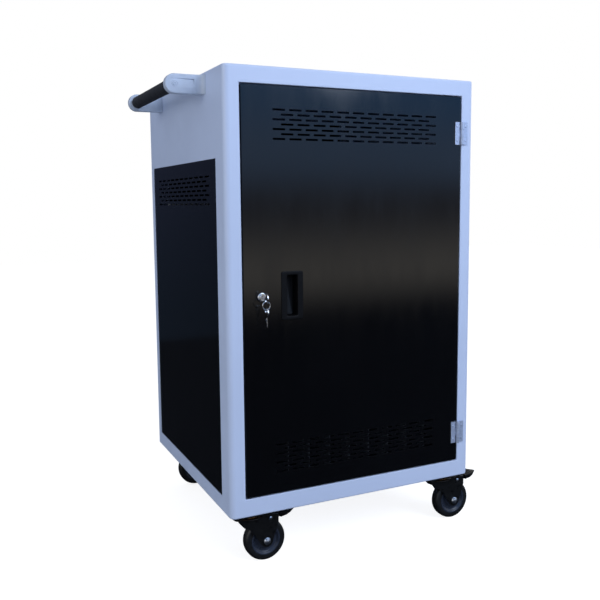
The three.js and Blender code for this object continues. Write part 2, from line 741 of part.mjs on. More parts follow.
function lockBarrel() {
  const bore = PLUG_RADIUS + RUNNING;
  const head = -SEAM - LOCK_HEAD_THICKNESS;
  const barrel = turned([
    [bore, head],
    [LOCK_HEAD_RADIUS - LOCK_HEAD_CHAMFER, head],
    [LOCK_HEAD_RADIUS, head + LOCK_HEAD_CHAMFER],
    [LOCK_HEAD_RADIUS, -SEAM],
    [LOCK_BODY_RADIUS, -SEAM],
    [LOCK_BODY_RADIUS, DOOR_THICKNESS],
    [bore, DOOR_THICKNESS],
    [bore, head],
  ], COARSE);
  const nutRadius = LOCK_NUT_ACROSS_FLATS / Math.sqrt(3);
  const inside = LOCK_BODY_RADIUS - (LOCK_BODY_RADIUS - bore) / 2;
  const nut = turned([
    [inside, SHEET + SEAM],
    [nutRadius, SHEET + SEAM],
    [nutRadius, SHEET + SEAM + LOCK_NUT_THICKNESS],
    [inside, SHEET + SEAM + LOCK_NUT_THICKNESS],
    [inside, SHEET + SEAM],
  ], NUT_SIDES);
  return fuse(barrel, nut);
}

function lockPlug() {
  const front = -SEAM - LOCK_HEAD_THICKNESS;
  const plug = turned([
    [0, front],
    [PLUG_RADIUS, front],
    [PLUG_RADIUS, CAM_FRONT - SEAM],
    [PLUG_TAIL_RADIUS, CAM_FRONT - SEAM],
    [PLUG_TAIL_RADIUS, CAM_FRONT + CAM_THICKNESS + 2 * SEAM],
    [0, CAM_FRONT + CAM_THICKNESS + 2 * SEAM],
  ], PIN);
  const keyway = block(
    -KEY_THICKNESS / 2 - SEAM,
    KEY_THICKNESS / 2 + SEAM,
    front - SEAM,
    front + KEY_INSERTED + SEAM,
    -KEY_BLADE_WIDTH / 2 - SEAM,
    KEY_BLADE_WIDTH / 2 + SEAM,
  );
  return cut(plug, keyway);
}

// The cam points straight up while the door is free to open.
function lockCam() {
  const half = CAM_WIDTH / 2;
  const cam = new THREE.Shape();
  cam.absarc(0, 0, half, Math.PI, 2 * Math.PI);
  cam.lineTo(half, CAM_LENGTH - half);
  cam.lineTo(half / 2, CAM_LENGTH);
  cam.lineTo(-half / 2, CAM_LENGTH);
  cam.lineTo(-half, CAM_LENGTH - half);
  cam.closePath();
  const hole = new THREE.Path();
  hole.absarc(0, 0, PLUG_TAIL_RADIUS + SEAM, 0, 2 * Math.PI);
  cam.holes.push(hole);
  return carriedBack(cam, CAM_FRONT, CAM_FRONT + CAM_THICKNESS, PIN);
}

// A key flat in the YZ plane: round bow below the origin's hole strip, blade along +Y or straight down.
function keyOutline() {
  const tip = KEY_NECK + KEY_BLADE_LENGTH;
  const half = KEY_BLADE_WIDTH / 2;
  const start = Math.asin(half / KEY_BOW_RADIUS);
  const key = new THREE.Shape();
  key.absarc(0, 0, KEY_BOW_RADIUS, start, 2 * Math.PI - start);
  key.lineTo(tip - half, -half);
  key.lineTo(tip, 0);
  key.lineTo(tip - half, half);
  key.closePath();
  return key;
}

function keyHole(x, y) {
  const hole = new THREE.Path();
  hole.absarc(x, y, KEY_HOLE_RADIUS, 0, 2 * Math.PI);
  return hole;
}

const KEY_NECK = Math.sqrt(KEY_BOW_RADIUS ** 2 - (KEY_BLADE_WIDTH / 2) ** 2);
const KEY_HOLE_OFFSET = KEY_BOW_RADIUS - KEY_STRIP - KEY_HOLE_RADIUS;
const KEY_STRIP_DROP = KEY_BOW_RADIUS - KEY_STRIP / 2;     // lock's axis down to the middle of the strip
const BOW_MIDDLE = -SEAM - LOCK_HEAD_THICKNESS + KEY_INSERTED - KEY_BLADE_LENGTH - KEY_NECK;
const RING_SAG = RING_RADIUS - RING_WIRE_RADIUS - Math.hypot(KEY_STRIP, KEY_THICKNESS) / 2 - SEAM;
const RING_DROP = KEY_STRIP_DROP + RING_SAG;               // lock's axis down to the ring's middle

// The key in the lock, with its hole low in the bow so that the ring hangs under the lock's axis.
function lockKey() {
  const key = keyOutline();
  key.holes.push(keyHole(0, -KEY_HOLE_OFFSET));
  const flat = carriedAcross(key, -KEY_THICKNESS / 2, KEY_THICKNESS / 2, COARSE);
  return flat.translate(0, BOW_MIDDLE, 0);
}

function keyRing() {
  const ring = new THREE.TorusGeometry(RING_RADIUS, RING_WIRE_RADIUS, NUT_SIDES, COARSE);
  return ring.rotateX(Math.PI / 2).translate(0, BOW_MIDDLE, -RING_DROP);
}

// The spare key hangs by the hole at its bow's end.
function spareKey() {
  const key = keyOutline();
  key.holes.push(keyHole(-KEY_HOLE_OFFSET, 0));
  const flat = carriedAcross(key, -KEY_THICKNESS / 2, KEY_THICKNESS / 2, COARSE);
  const bowTop = RING_DROP + RING_RADIUS - RING_WIRE_RADIUS - KEY_STRIP - SEAM;
  return flat.rotateX(-Math.PI / 2).translate(0, BOW_MIDDLE, -bowTop - KEY_BOW_RADIUS);
}

// Push handle

// An arm standing out from the left wall, its end rounded about the grip's axis, recessed on its outer face.
function handleArm(side) {
  const radius = ARM_HEIGHT / 2;
  const arm = new THREE.Shape();
  arm.moveTo(-SEAM, -radius);
  arm.lineTo(-SEAM, radius);
  arm.lineTo(-GRIP_FROM_WALL, radius);
  arm.absarc(-GRIP_FROM_WALL, 0, radius, Math.PI / 2, 1.5 * Math.PI);
  arm.closePath();
  const half = ARM_THICKNESS / 2;
  const recessInner = -ARM_RECESS_FROM_WALL;
  const recess = raised(outline([
    [recessInner - ARM_RECESS_LENGTH, -half],
    [recessInner - ARM_RECESS_LENGTH, -half - SHEET],
    [recessInner, -half - SHEET],
    [recessInner, -half + ARM_RECESS_DEPTH],
  ]), -ARM_RECESS_HEIGHT / 2, ARM_RECESS_HEIGHT / 2);
  const screwSeat = rod(ARM_SCREW_RADIUS, -half - SHEET, -half + ARM_SCREW_DEPTH, COARSE);
  const tubeSeat = rod(HANDLE_TUBE_RADIUS + SEAM, half - HANDLE_TUBE_SEAT, half + SHEET, COARSE);
  screwSeat.translate(-GRIP_FROM_WALL, 0, 0);
  tubeSeat.translate(-GRIP_FROM_WALL, 0, 0);
  const shaped = cut(carriedBack(arm, -half, half, COARSE), recess, screwSeat, tubeSeat);
  return side < 0 ? shaped : shaped.rotateX(Math.PI);
}

function sleeve(outer, inner, length) {
  const half = length / 2;
  return turned([[inner, -half], [outer, -half], [outer, half], [inner, half], [inner, -half]], COARSE);
}

// Casters: the swivel axis is Z, the cabinet's underside is at z = 0 and the wheel trails towards +X.

const AXLE_DEPTH = CASTER_HEIGHT - WHEEL_RADIUS;
const FORK_INNER = WHEEL_WIDTH / 2 + FORK_SIDE_GAP;
const FORK_OUTER = FORK_INNER + FORK_SHEET;
const RACEWAY_BOTTOM = SEAM + PLATE_THICKNESS + RACEWAY_DEPTH;
const FORK_TOP = RACEWAY_BOTTOM + SEAM;

// The top plate, the raceway's cup and the king pin that the fork turns on.
function casterPlate() {
  const footprint = roundedRectangle(PLATE_LENGTH, PLATE_WIDTH, PLATE_CORNER);
  const plate = raised(footprint, -SEAM - PLATE_THICKNESS, -SEAM, CORNER_FACETS / 2);
  const rivet = -FORK_TOP - FORK_SHEET - SEAM;
  const raceway = turnedUpright([
    [0, rivet - KING_PIN_HEAD],
    [KING_PIN_HEAD_RADIUS, rivet - KING_PIN_HEAD],
    [KING_PIN_HEAD_RADIUS, rivet],
    [KING_PIN_RADIUS, rivet],
    [KING_PIN_RADIUS, -RACEWAY_BOTTOM],
    [RACEWAY_FLOOR_RADIUS, -RACEWAY_BOTTOM],
    [RACEWAY_RADIUS, -RACEWAY_BOTTOM + RACEWAY_DEPTH / 2],
    [RACEWAY_RADIUS, -SEAM - PLATE_THICKNESS / 2],
    [0, -SEAM - PLATE_THICKNESS / 2],
  ], COARSE);
  return fuse(plate, raceway);
}

// A round hole right across the fork.
function crosswiseHole(radius, x, depth) {
  return rod(radius, -2 * FORK_OUTER, 2 * FORK_OUTER, PIN).translate(x, 0, -depth);
}

// The pressed fork: a crown under the raceway, open at its tail, and two legs that taper down to the axle.
function casterFork(braked) {
  const crown = -FORK_TOP;
  const side = new THREE.Shape();
  side.moveTo(-FORK_NOSE, crown);
  side.lineTo(-FORK_NOSE / 2, crown - FORK_CROWN_DEPTH);
  side.lineTo(-FORK_WAIST_X, crown - FORK_WAIST_DEPTH);
  side.absarc(CASTER_TRAIL, -AXLE_DEPTH, FORK_FOOT_RADIUS,
    THREE.MathUtils.degToRad(FORK_FOOT_FROM), THREE.MathUtils.degToRad(FORK_FOOT_TO));
  side.lineTo(FORK_TAIL, crown - FORK_CROWN_DEPTH);
  side.lineTo(FORK_TAIL, crown);
  side.closePath();
  const cupRadius = RACEWAY_RADIUS + FORK_SHEET;
  const between = block(-CASTER_HEIGHT, CASTER_HEIGHT, -FORK_INNER, FORK_INNER,
    -CASTER_HEIGHT, crown - FORK_SHEET);
  const tailGap = block(cupRadius, CASTER_HEIGHT, -FORK_INNER, FORK_INNER, -CASTER_HEIGHT, 0);
  const legs = cut(carriedBack(side, -FORK_OUTER, FORK_OUTER, NUT_SIDES), between, tailGap);
  const cup = turnedUpright([
    [0, crown - FORK_SHEET],
    [RACEWAY_RADIUS, crown - FORK_SHEET],
    [cupRadius, crown],
    [0, crown],
  ], COARSE);
  const holes = [
    rod(KING_PIN_RADIUS + RUNNING, 0, CASTER_HEIGHT, COARSE).rotateX(-Math.PI / 2),
    crosswiseHole(AXLE_RADIUS + SEAM, CASTER_TRAIL, AXLE_DEPTH),
  ];
  if (braked) {
    holes.push(crosswiseHole(PEDAL_PIN_RADIUS + RUNNING, PEDAL_PIVOT_X, PEDAL_PIVOT_DEPTH));
  }
  return cut(fuse(legs, cup), ...holes);
}

// A wheel with a dished hub, a rounded tyre and a bore for the axle. It stands on one of its facets.
function casterWheel() {
  const tread = WHEEL_RADIUS / Math.cos(Math.PI / FINE);
  const half = WHEEL_WIDTH / 2;
  const bore = AXLE_RADIUS + RUNNING;
  const rim = WHEEL_RADIUS - TYRE_THICKNESS;
  const wall = half - TYRE_SET_IN;
  const face = [
    [bore, half],
    [HUB_BOSS_RADIUS, half],
    [rim - HUB_DISH, half - HUB_DISH],
    [rim, wall],
    [WHEEL_RADIUS - TYRE_SHOULDER, wall],
    [tread, TREAD_WIDTH / 2],
  ];
  const front = face.map(([radius, along]) => [radius, -along]);
  const wheel = turned([...front, ...face.reverse(), front[0]], FINE).rotateY(Math.PI / FINE);
  return wheel.translate(CASTER_TRAIL, 0, -AXLE_DEPTH);
}

// The axle bolt: a round head on one side of the fork and a hexagon nut on the other.
function casterAxle() {
  const seat = FORK_OUTER + SEAM;
  const end = seat + AXLE_HEAD_THICKNESS;
  const bolt = turned([
    [0, -end],
    [AXLE_HEAD_RADIUS, -end],
    [AXLE_HEAD_RADIUS, -seat],
    [AXLE_RADIUS, -seat],
    [AXLE_RADIUS, end],
    [0, end],
  ], PIN);
  const nut = rod(AXLE_HEAD_RADIUS, seat, end - SEAM, NUT_SIDES);
  return fuse(bolt, nut).translate(CASTER_TRAIL, 0, -AXLE_DEPTH);
}

// The brake pedal: a pin across the fork, a shoe above the tyre, and a tongue that widens behind the fork.
function brakePedal() {
  const inside = FORK_INNER - SWING;
  const half = PEDAL_THICKNESS / 2;
  const tipHalf = PEDAL_TIP_THICKNESS / 2;
  const side = carriedBack(outline([
    [0, -PEDAL_BOSS_RADIUS],
    [PEDAL_SHOE_X, -PEDAL_SHOE_DROP],
    [PEDAL_NECK, -half],
    [PEDAL_LENGTH, -tipHalf],
    [PEDAL_LENGTH, tipHalf],
    [PEDAL_NECK, half],
    [0, PEDAL_BOSS_RADIUS],
  ]), -PEDAL_WIDTH, PEDAL_WIDTH);
  const wide = PEDAL_WIDTH / 2;
  const shoulder = PEDAL_LENGTH - PEDAL_TIP_TAPER;
  const plan = raised(outline([
    [0, -inside],
    [PEDAL_NECK, -inside],
    [PEDAL_NECK, -wide],
    [shoulder, -wide],
    [PEDAL_LENGTH, -PEDAL_TIP_WIDTH / 2],
    [PEDAL_LENGTH, PEDAL_TIP_WIDTH / 2],
    [shoulder, wide],
    [PEDAL_NECK, wide],
    [PEDAL_NECK, inside],
    [0, inside],
  ]), -PEDAL_LENGTH, PEDAL_LENGTH);
  const pedal = fuse(
    common(side, plan),
    rod(PEDAL_BOSS_RADIUS, -inside, inside, PIN),
    rod(PEDAL_PIN_RADIUS, -FORK_OUTER, FORK_OUTER, PIN),
  );
  pedal.rotateY(-THREE.MathUtils.degToRad(PEDAL_LIFT));
  return pedal.translate(PEDAL_PIVOT_X, 0, -PEDAL_PIVOT_DEPTH);
}

// Assembly

// A door with its hinges and cam lock, drawn as seen from outside, with its face at y = 0.
function doorSet(prefix, door) {
  const set = new THREE.Group();
  set.add(mesh(`${prefix}_door`, 'black', door));
  const pinX = DOOR_WIDTH / 2 + DOOR_GAP / 2;
  const pinY = -SEAM - HINGE_KNUCKLE_RADIUS;
  const levels = { upper: DOOR_TOP - UPPER_HINGE_INSET, lower: DOOR_BOTTOM + LOWER_HINGE_INSET };
  for (const [level, z] of Object.entries(levels)) {
    set.add(
      mesh(`${prefix}_${level}_hinge_frame_leaf`, 'steel', frameLeaf(1).translate(pinX, pinY, z)),
      mesh(`${prefix}_${level}_hinge_door_leaf`, 'steel', doorLeaf(-1).translate(pinX, pinY, z)),
    );
  }
  const lock = new THREE.Group();
  lock.position.set(DOOR_FREE_EDGE + LOCK_INSET, 0, LOCK_HEIGHT);
  lock.add(
    mesh(`${prefix}_lock_barrel`, 'chrome', lockBarrel()),
    mesh(`${prefix}_lock_plug`, 'chrome', lockPlug()),
    mesh(`${prefix}_lock_cam`, 'steel', lockCam()),
  );
  set.add(lock);
  return { set, lock };
}

const cabinet = new THREE.Group();
cabinet.add(
  mesh('left_side_wall', 'white', sideWall()),
  mesh('right_side_wall', 'white', mirrored(sideWall())),
  mesh('top_cover', 'white', topCover()),
  mesh('base_pan', 'white', basePan()),
  mesh('left_vent_panel', 'black', sidePanel()),
  mesh('right_vent_panel', 'black', mirrored(sidePanel())),
);

const lowerWall = MIDDLE_SHELF - CABLE_WALL_OPENING - WALL_BOTTOM;
const upperWall = TIER_HEIGHT - CABLE_WALL_OPENING - SEAM;
cabinet.add(
  mesh('lower_divider_rack', 'grey', dividerRack(BOTTOM_RAIL - WALL_BOTTOM).translate(0, 0, BOTTOM_RAIL)),
  mesh('middle_shelf', 'grey', shelf().translate(0, 0, MIDDLE_SHELF)),
  mesh('upper_divider_rack', 'grey', dividerRack(RACK_FOOT).translate(0, 0, UPPER_RACK)),
  mesh('top_shelf', 'grey', shelf().translate(0, 0, TOP_SHELF)),
  mesh('lower_cable_wall', 'grey', cableWall(lowerWall).translate(0, 0, WALL_BOTTOM)),
  mesh('upper_cable_wall', 'grey', cableWall(upperWall).translate(0, 0, MIDDLE_SHELF + SEAM)),
  mesh('lower_power_strip', 'plastic', powerStrip().translate(0, 0, WALL_BOTTOM + STRIP_RISE)),
  mesh('upper_power_strip', 'plastic', powerStrip().translate(0, 0, MIDDLE_SHELF + SEAM + STRIP_RISE)),
  mesh('power_module', 'steel', powerModule().translate(0, 0, TOP_SHELF + SEAM)),
);

const inlet = new THREE.Group();
inlet.position.set(INLET_SIDE, HALF_DEPTH, BOTTOM_RAIL / 2);
inlet.add(
  mesh('power_inlet', 'plastic', powerInlet()),
  mesh('power_switch_rocker', 'plastic', powerRocker().translate(ROCKER_OFFSET, SEAM + INLET_FLANGE, 0)),
);
cabinet.add(inlet);

const handle = new THREE.Group();
handle.position.set(-HALF_WIDTH, 0, CABINET_HEIGHT - HANDLE_DROP);
const betweenArms = HANDLE_SPAN - ARM_THICKNESS - 2 * SEAM;
handle.add(
  mesh('handle_front_arm', 'pale', handleArm(-1).translate(0, -HANDLE_SPAN / 2, 0)),
  mesh('handle_rear_arm', 'pale', handleArm(1).translate(0, HANDLE_SPAN / 2, 0)),
  mesh('handle_tube', 'steel', sleeve(
    HANDLE_TUBE_RADIUS, HANDLE_TUBE_RADIUS - HANDLE_TUBE_WALL, betweenArms + 2 * HANDLE_TUBE_SEAT,
  ).translate(-GRIP_FROM_WALL, 0, 0)),
  mesh('handle_grip', 'foam', sleeve(
    GRIP_RADIUS, HANDLE_TUBE_RADIUS + SEAM, betweenArms,
  ).translate(-GRIP_FROM_WALL, 0, 0)),
);
cabinet.add(handle);

const front = doorSet('front', frontDoor());
front.set.position.y = -HALF_DEPTH;
const pull = mesh('front_pull_cup', 'plastic', pullCup());
pull.position.set(DOOR_FREE_EDGE + PULL_INSET, 0, LOCK_HEIGHT);
front.set.add(pull);
front.lock.add(
  mesh('front_lock_key', 'chrome', lockKey()),
  mesh('key_ring', 'chrome', keyRing()),
  mesh('spare_key', 'chrome', spareKey()),
);
cabinet.add(front.set);

const rear = doorSet('rear', rearDoor());
rear.set.position.y = HALF_DEPTH;
rear.set.rotation.z = Math.PI;
cabinet.add(rear.set);

const corners = { front_left: [-1, -1], front_right: [1, -1], rear_left: [-1, 1], rear_right: [1, 1] };
for (const [corner, [sideX, sideY]] of Object.entries(corners)) {
  const caster = new THREE.Group();
  caster.position.set(sideX * (HALF_WIDTH - CASTER_INSET_X), sideY * (HALF_DEPTH - CASTER_INSET_Y), 0);
  const braked = sideY < 0;
  caster.add(
    mesh(`${corner}_caster_plate`, 'zinc', casterPlate()),
    mesh(`${corner}_caster_fork`, 'black', casterFork(braked)),
    mesh(`${corner}_caster_axle`, 'steel', casterAxle()),
    mesh(`${corner}_caster_wheel`, 'rubber', casterWheel()),
  );
  if (braked) {
    caster.add(mesh(`${corner}_brake_pedal`, 'plastic', brakePedal()));
  }
  cabinet.add(caster);
}

// The origin is on the floor, under the middle of the whole cart's outline.
const cart = new THREE.Group();
cart.add(cabinet);
const box = new THREE.Box3().setFromObject(cart, true);
cabinet.position.set(-(box.min.x + box.max.x) / 2, -(box.min.y + box.max.y) / 2, -box.min.z);

export default cart;
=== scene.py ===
"""Laptop charging cart: the finished surfaces of a lockable steel cabinet on swivel casters.

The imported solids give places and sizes. Each operator makes one group of pieces, and the last one sets
the studio. Lengths are in metres, +Z up, and the front door faces -Y. Shapes are worked out in the
cabinet's own frame, whose origin is the middle of its underside.
"""

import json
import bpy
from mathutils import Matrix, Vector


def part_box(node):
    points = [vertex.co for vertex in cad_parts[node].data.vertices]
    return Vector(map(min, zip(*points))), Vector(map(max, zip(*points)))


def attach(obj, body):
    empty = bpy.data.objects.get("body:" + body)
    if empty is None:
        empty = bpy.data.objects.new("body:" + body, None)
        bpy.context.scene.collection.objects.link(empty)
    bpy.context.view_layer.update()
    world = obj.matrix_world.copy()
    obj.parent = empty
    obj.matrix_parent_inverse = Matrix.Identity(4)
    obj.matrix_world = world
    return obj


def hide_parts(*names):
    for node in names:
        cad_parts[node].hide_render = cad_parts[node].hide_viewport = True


bl_info = {
    "name": "Laptop charging cart",
    "version": (1, 0, 0),
    "blender": (4, 5, 0),
    "location": "3D View > Sidebar > Cart",
    "description": "Builds the surfaces and finishes of a laptop charging cart round its solids",
    "category": "Add Mesh",
}

from functools import cache, partial

import bmesh
import bpy
import numpy as np
from bpy.props import FloatProperty, FloatVectorProperty, IntProperty, PointerProperty
from bpy.types import Operator, Panel, PropertyGroup
from mathutils import Matrix, Vector

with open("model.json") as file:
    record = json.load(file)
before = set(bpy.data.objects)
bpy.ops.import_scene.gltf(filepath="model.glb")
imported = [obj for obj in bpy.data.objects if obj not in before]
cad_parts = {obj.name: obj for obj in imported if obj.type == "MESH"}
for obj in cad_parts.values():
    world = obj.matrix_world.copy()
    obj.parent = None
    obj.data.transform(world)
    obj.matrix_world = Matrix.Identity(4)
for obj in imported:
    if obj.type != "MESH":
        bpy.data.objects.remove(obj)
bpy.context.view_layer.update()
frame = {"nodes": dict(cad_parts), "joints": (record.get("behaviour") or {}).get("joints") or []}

PAN_LOW, PAN_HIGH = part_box("base_pan")
ORIGIN = np.array([(PAN_LOW.x + PAN_HIGH.x) / 2, (PAN_LOW.y + PAN_HIGH.y) / 2, PAN_LOW.z])
HALF_WIDTH = (PAN_HIGH.x - PAN_LOW.x) / 2
HALF_DEPTH = (PAN_HIGH.y - PAN_LOW.y) / 2
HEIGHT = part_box("top_cover")[1].z - PAN_LOW.z
JOINTS = {j["name"]: np.array(j["pos_m"]) - ORIGIN for j in frame["joints"]}
CORNERS = ("front_left", "front_right", "rear_left", "rear_right")
DOORS = (("front", 1), ("rear", -1))  # -1 turns a piece half round, to face the rear
TURN = 2 * np.pi
TOUCH = 1e-6  # points closer than this are one
SEAM = 0.0003  # clearance between pieces that meet
EASE = 0.0008  # from a rounding to a line of points that keeps the flat beside it shaded flat
FINE_BEVEL = 0.0003  # broken edge of small metal pieces
WHEEL_GAP = 0.003  # between a wheel's hub and a leg of its fork
LOW, HIGH = 0.3, 0.7  # noise mostly lies between these


def span(node):
    """A node's lowest and highest corners, its middle and half its size, in the cabinet's frame."""
    low, high = (np.array(corner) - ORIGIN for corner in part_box(node))
    return low, high, (low + high) / 2, (high - low) / 2


def srgb(red, green, blue):
    """Linear colour of a screen colour: ((c + 0.055) / 1.055) to the power 2.4, straight near black."""
    c = np.array([red, green, blue]) / 255
    return tuple(np.where(c <= 0.04045, c / 12.92, ((c + 0.055) / 1.055) ** 2.4))


def number(name, description, default, unit="NONE"):
    """A number that a user may change."""
    return FloatProperty(name=name, description=description, default=default, unit=unit, precision=4)


length = partial(number, unit="LENGTH")


def colour(name, description, red, green, blue):
    """A finish's colour, given as it looks on screen."""
    return FloatVectorProperty(
        name=name, description=description, default=srgb(red, green, blue), subtype="COLOR", min=0, max=1
    )


class CabinetSizes(PropertyGroup):
    """Sheet-metal sizes of the cabinet."""

    sheet: length("Sheet", "Thickness of the steel sheet", 0.0015)
    corner: length("Corner radius", "Radius of the cabinet's upright edges", 0.014)
    fold: length("Fold radius", "Radius of the lid's and the base's edges", 0.004)
    overlap: length("Weld line", "Flat from an upright edge to its weld with a frame", 0.006)
    stile: length("Stile", "Width of the white border beside the doors", 0.036)
    top_rail: length("Top rail", "Height of the white border above the doors", 0.038)
    bottom_rail: length("Bottom rail", "Height of the white border below the doors", 0.042)
    stop_depth: length("Stop depth", "How far the border folds back beside a door", 0.0175)
    stop_lip: length("Stop lip", "How far it then folds in behind the door", 0.012)
    panel_front: length("Panel front", "White strip ahead of a side panel", 0.058)
    panel_rear: length("Panel rear", "White strip behind a side panel", 0.036)
    panel_bottom: length("Panel bottom", "Height of a side panel's lower edge", 0.0375)
    panel_top: length("Panel top", "White strip above a side panel", 0.195)


class FittingSizes(PropertyGroup):
    """Sizes of the doors' fittings and of the handle."""

    hinge_pin: length("Hinge pin", "Radius of a hinge's pin", 0.002)
    hinge_knuckle: length("Hinge knuckle", "Outer radius of a hinge's knuckles", 0.0045)
    hinge_leaf: length("Hinge leaf", "Thickness of a hinge's leaves", 0.002)
    lock_head: length("Lock head", "Radius of a lock's chromed head", 0.0105)
    key_bow: length("Key bow", "Radius of a key's round bow", 0.011)
    key_blade: length("Key blade", "Width of a key's blade", 0.0075)
    ring_wire: length("Ring wire", "Radius of the key ring's wire", 0.0008)
    arm_edge: length("Arm edge", "Rounding of the handle arms' edges", 0.003)
    arm_foot: length("Arm foot", "Radius at which the handle arms curve out to the wall", 0.018)
    screw_head: length("Screw head", "Radius of the small screw heads", 0.0032)


class CasterSizes(PropertyGroup):
    """Sizes of the four casters."""

    trail: length("Trail", "How far the axle lies behind the swivel", 0.037)
    wheel: length("Wheel", "Radius of a wheel", 0.05)
    rim: length("Rim", "Radius at which the tyre meets the hub", 0.036)
    width: length("Width", "Width of a wheel at its hub", 0.03)
    fork_sheet: length("Fork sheet", "Thickness of a fork's sheet", 0.003)
    raceway: length("Raceway", "Radius of the swivel's raceway", 0.03)
    segments: IntProperty(name="Segments", description="Steps round a turned piece", default=56, min=12)


class CartColours(PropertyGroup):
    """Colours of the finishes."""

    # Cool white paint: part of its blue cast is painted skylight, the rest is the paint's own colour.
    white: colour("White paint", "Powder coat of the cabinet", 193, 208, 238)
    black: colour("Black enamel", "Gloss enamel of the doors and side panels", 8, 9, 12)
    inside: colour("Inner paint", "Powder coat of the racks and shelves", 112, 118, 128)
    plastic: colour("Black plastic", "Moulded pulls, strips and pedals", 6, 6, 8)
    pale: colour("White plastic", "Moulded arms of the handle", 178, 191, 212)
    foam: colour("Grip foam", "Sleeve on the handle", 33, 36, 45)
    case: colour("Case", "Charging controller's case", 120, 126, 136)
    steel: colour("Plated steel", "Cams, bolts and pins", 196, 204, 216)
    hinge: colour("Satin zinc", "Hinges", 172, 184, 208)
    chrome: colour("Chrome", "Locks and keys", 214, 218, 226)
    zinc: colour("Yellow zinc", "Raceways of the casters", 206, 146, 62)
    fork: colour("Black steel", "Forks and plates of the casters", 9, 10, 12)
    tyre: colour("Tyre", "Rubber of the wheels", 9, 10, 13)
    hub: colour("Hub", "Moulded hubs of the wheels", 44, 51, 66)


class StudioSettings(PropertyGroup):
    """Camera and light."""

    eye: FloatVectorProperty(
        name="Eye", description="Camera's place in the cabinet's frame", default=(-0.8701, -1.8164, 0.7082),
        subtype="XYZ", unit="LENGTH",
    )
    yaw: number("Yaw", "Camera's heading", np.radians(25.15), "ROTATION")
    pitch: number("Pitch", "Camera's tilt", np.radians(-6.16), "ROTATION")
    roll: number("Roll", "Camera's roll", np.radians(-0.52), "ROTATION")
    focal: number("Focal length", "In image widths", 742.06 / 600)
    shift: FloatVectorProperty(
        name="Shift", description="Lens shift in image widths", size=2, default=(4.62 / 600, -17.99 / 600)
    )
    sky: colour("Sky", "Soft light from all round", 228, 238, 255)
    sky_level: number("Sky level", "Strength of the soft light", 0.5)
    key_level: number("Key level", "Power of the main lamp", 79, "POWER")
    fill_level: number("Fill level", "Power of the lamp at the left", 26, "POWER")


class CartSettings(PropertyGroup):
    """Everything that a user would change."""

    cabinet: PointerProperty(type=CabinetSizes)
    fittings: PointerProperty(type=FittingSizes)
    casters: PointerProperty(type=CasterSizes)
    colours: PointerProperty(type=CartColours)
    studio: PointerProperty(type=StudioSettings)


# Surfaces: every shape is a pair of an array of points and a list of faces.


def grid(rows, columns, closed):
    """Faces i, k -> i, k+1 -> i+1, k+1 -> i+1, k of a grid of points, whose columns may run round."""
    i = np.arange(rows - 1)[:, None] * columns
    k = np.arange(columns if closed else columns - 1)[None, :]
    n = (k + 1) % columns
    return np.stack([i + k, i + n, i + columns + n, i + columns + k], -1).reshape(-1, 4)


def fillet(radius, steps=5):
    """A rounded edge's two setbacks, r (1 - sin a) and r (1 - cos a), with a over a quarter turn."""
    a = np.linspace(0, TURN / 4, steps)
    return radius * (1 - np.sin(a)), radius * (1 - np.cos(a))


def outline(x0, x1, y0, y1, radius, steps=6):
    """A rectangle with round corners: corner centre + r (cos a, sin a), a over a quarter turn at each."""
    r = np.broadcast_to(radius, 4)
    x = np.array([x1, x0, x0, x1]) + r * [-1, 1, 1, -1]
    y = np.array([y1, y1, y0, y0]) + r * [-1, -1, 1, 1]
    a = np.linspace(0, TURN / 4, steps + 1) + np.arange(4)[:, None] * TURN / 4
    corner = np.stack([x[:, None] + r[:, None] * np.cos(a), y[:, None] + r[:, None] * np.sin(a)], -1)
    return corner.reshape(-1, 2)


def circle(x, y, radius, steps):
    """Points round a circle: centre + r (cos a, sin a)."""
    a = np.linspace(0, TURN, steps, endpoint=False)
    return np.stack([x + radius * np.cos(a), y + radius * np.sin(a)], -1)


def rounded(points, radii, steps=8):
    """An open line with filleted corners: each arc is tangent to both sides, r / tan(half the angle) back
    from the corner, with a point EASE before it and one after it."""
    bends = []
    for k, (point, radius) in enumerate(zip(points, radii)):
        if radius == 0:
            bends.append(point[None])
            continue
        before, after = points[k - 1] - point, points[k + 1] - point
        before, after = before / np.linalg.norm(before), after / np.linalg.norm(after)
        half = np.arccos(np.clip(before @ after, -1, 1)) / 2
        centre = point + (before + after) / np.linalg.norm(before + after) * radius / np.sin(half)
        first, last = point + before * radius / np.tan(half), point + after * radius / np.tan(half)
        t = np.linspace(0, 1, steps + 1)[:, None]
        sweep = np.pi - 2 * half
        arc = np.sin((1 - t) * sweep) * (first - centre) + np.sin(t * sweep) * (last - centre)
        bends += [first[None] + before * EASE, centre + arc / np.sin(sweep), last[None] + after * EASE]
    return np.concatenate(bends)


def lay(loop, level, plane):
    """Sets a flat outline in space: plane xy at height z, xz at depth y, or yz at side x."""
    u, v = loop.T
    w = np.full_like(u, level)
    return np.stack({"xy": (u, v, w), "xz": (u, w, v), "yz": (w, u, v)}[plane], -1)


def loft(loops, ring=False):
    """A skin through outlines of equal count, point k of outline i at i, k. A ring closes on itself."""
    count = len(loops[0])
    loops = [*loops, loops[0]] if ring else loops
    faces = grid(len(loops), count, True).tolist()
    if not ring:
        faces += [list(range(count))[::-1], list(range((len(loops) - 1) * count, len(loops) * count))]
    return np.concatenate(loops), faces


def prism(section, start, end, plane):
    """A closed section carried straight along the third axis, with flat ends."""
    return loft([lay(section, start, plane), lay(section, end, plane)])


def lathe(profile, axis, steps, centre=(0, 0, 0)):
    """A turned piece: centre + r (cos t e1 + sin t e2) + h axis, for each pair r, h of its profile."""
    r, h = np.asarray(profile, float).T[..., None, None]
    t = np.linspace(0, TURN, steps, endpoint=False)[:, None]
    e1, e2, e3 = np.eye(3)[{"y": [2, 0, 1], "z": [0, 1, 2]}[axis]]
    points = r * (np.cos(t) * e1 + np.sin(t) * e2) + h * e3 + centre
    return points.reshape(-1, 3), grid(len(r), steps, True).tolist()


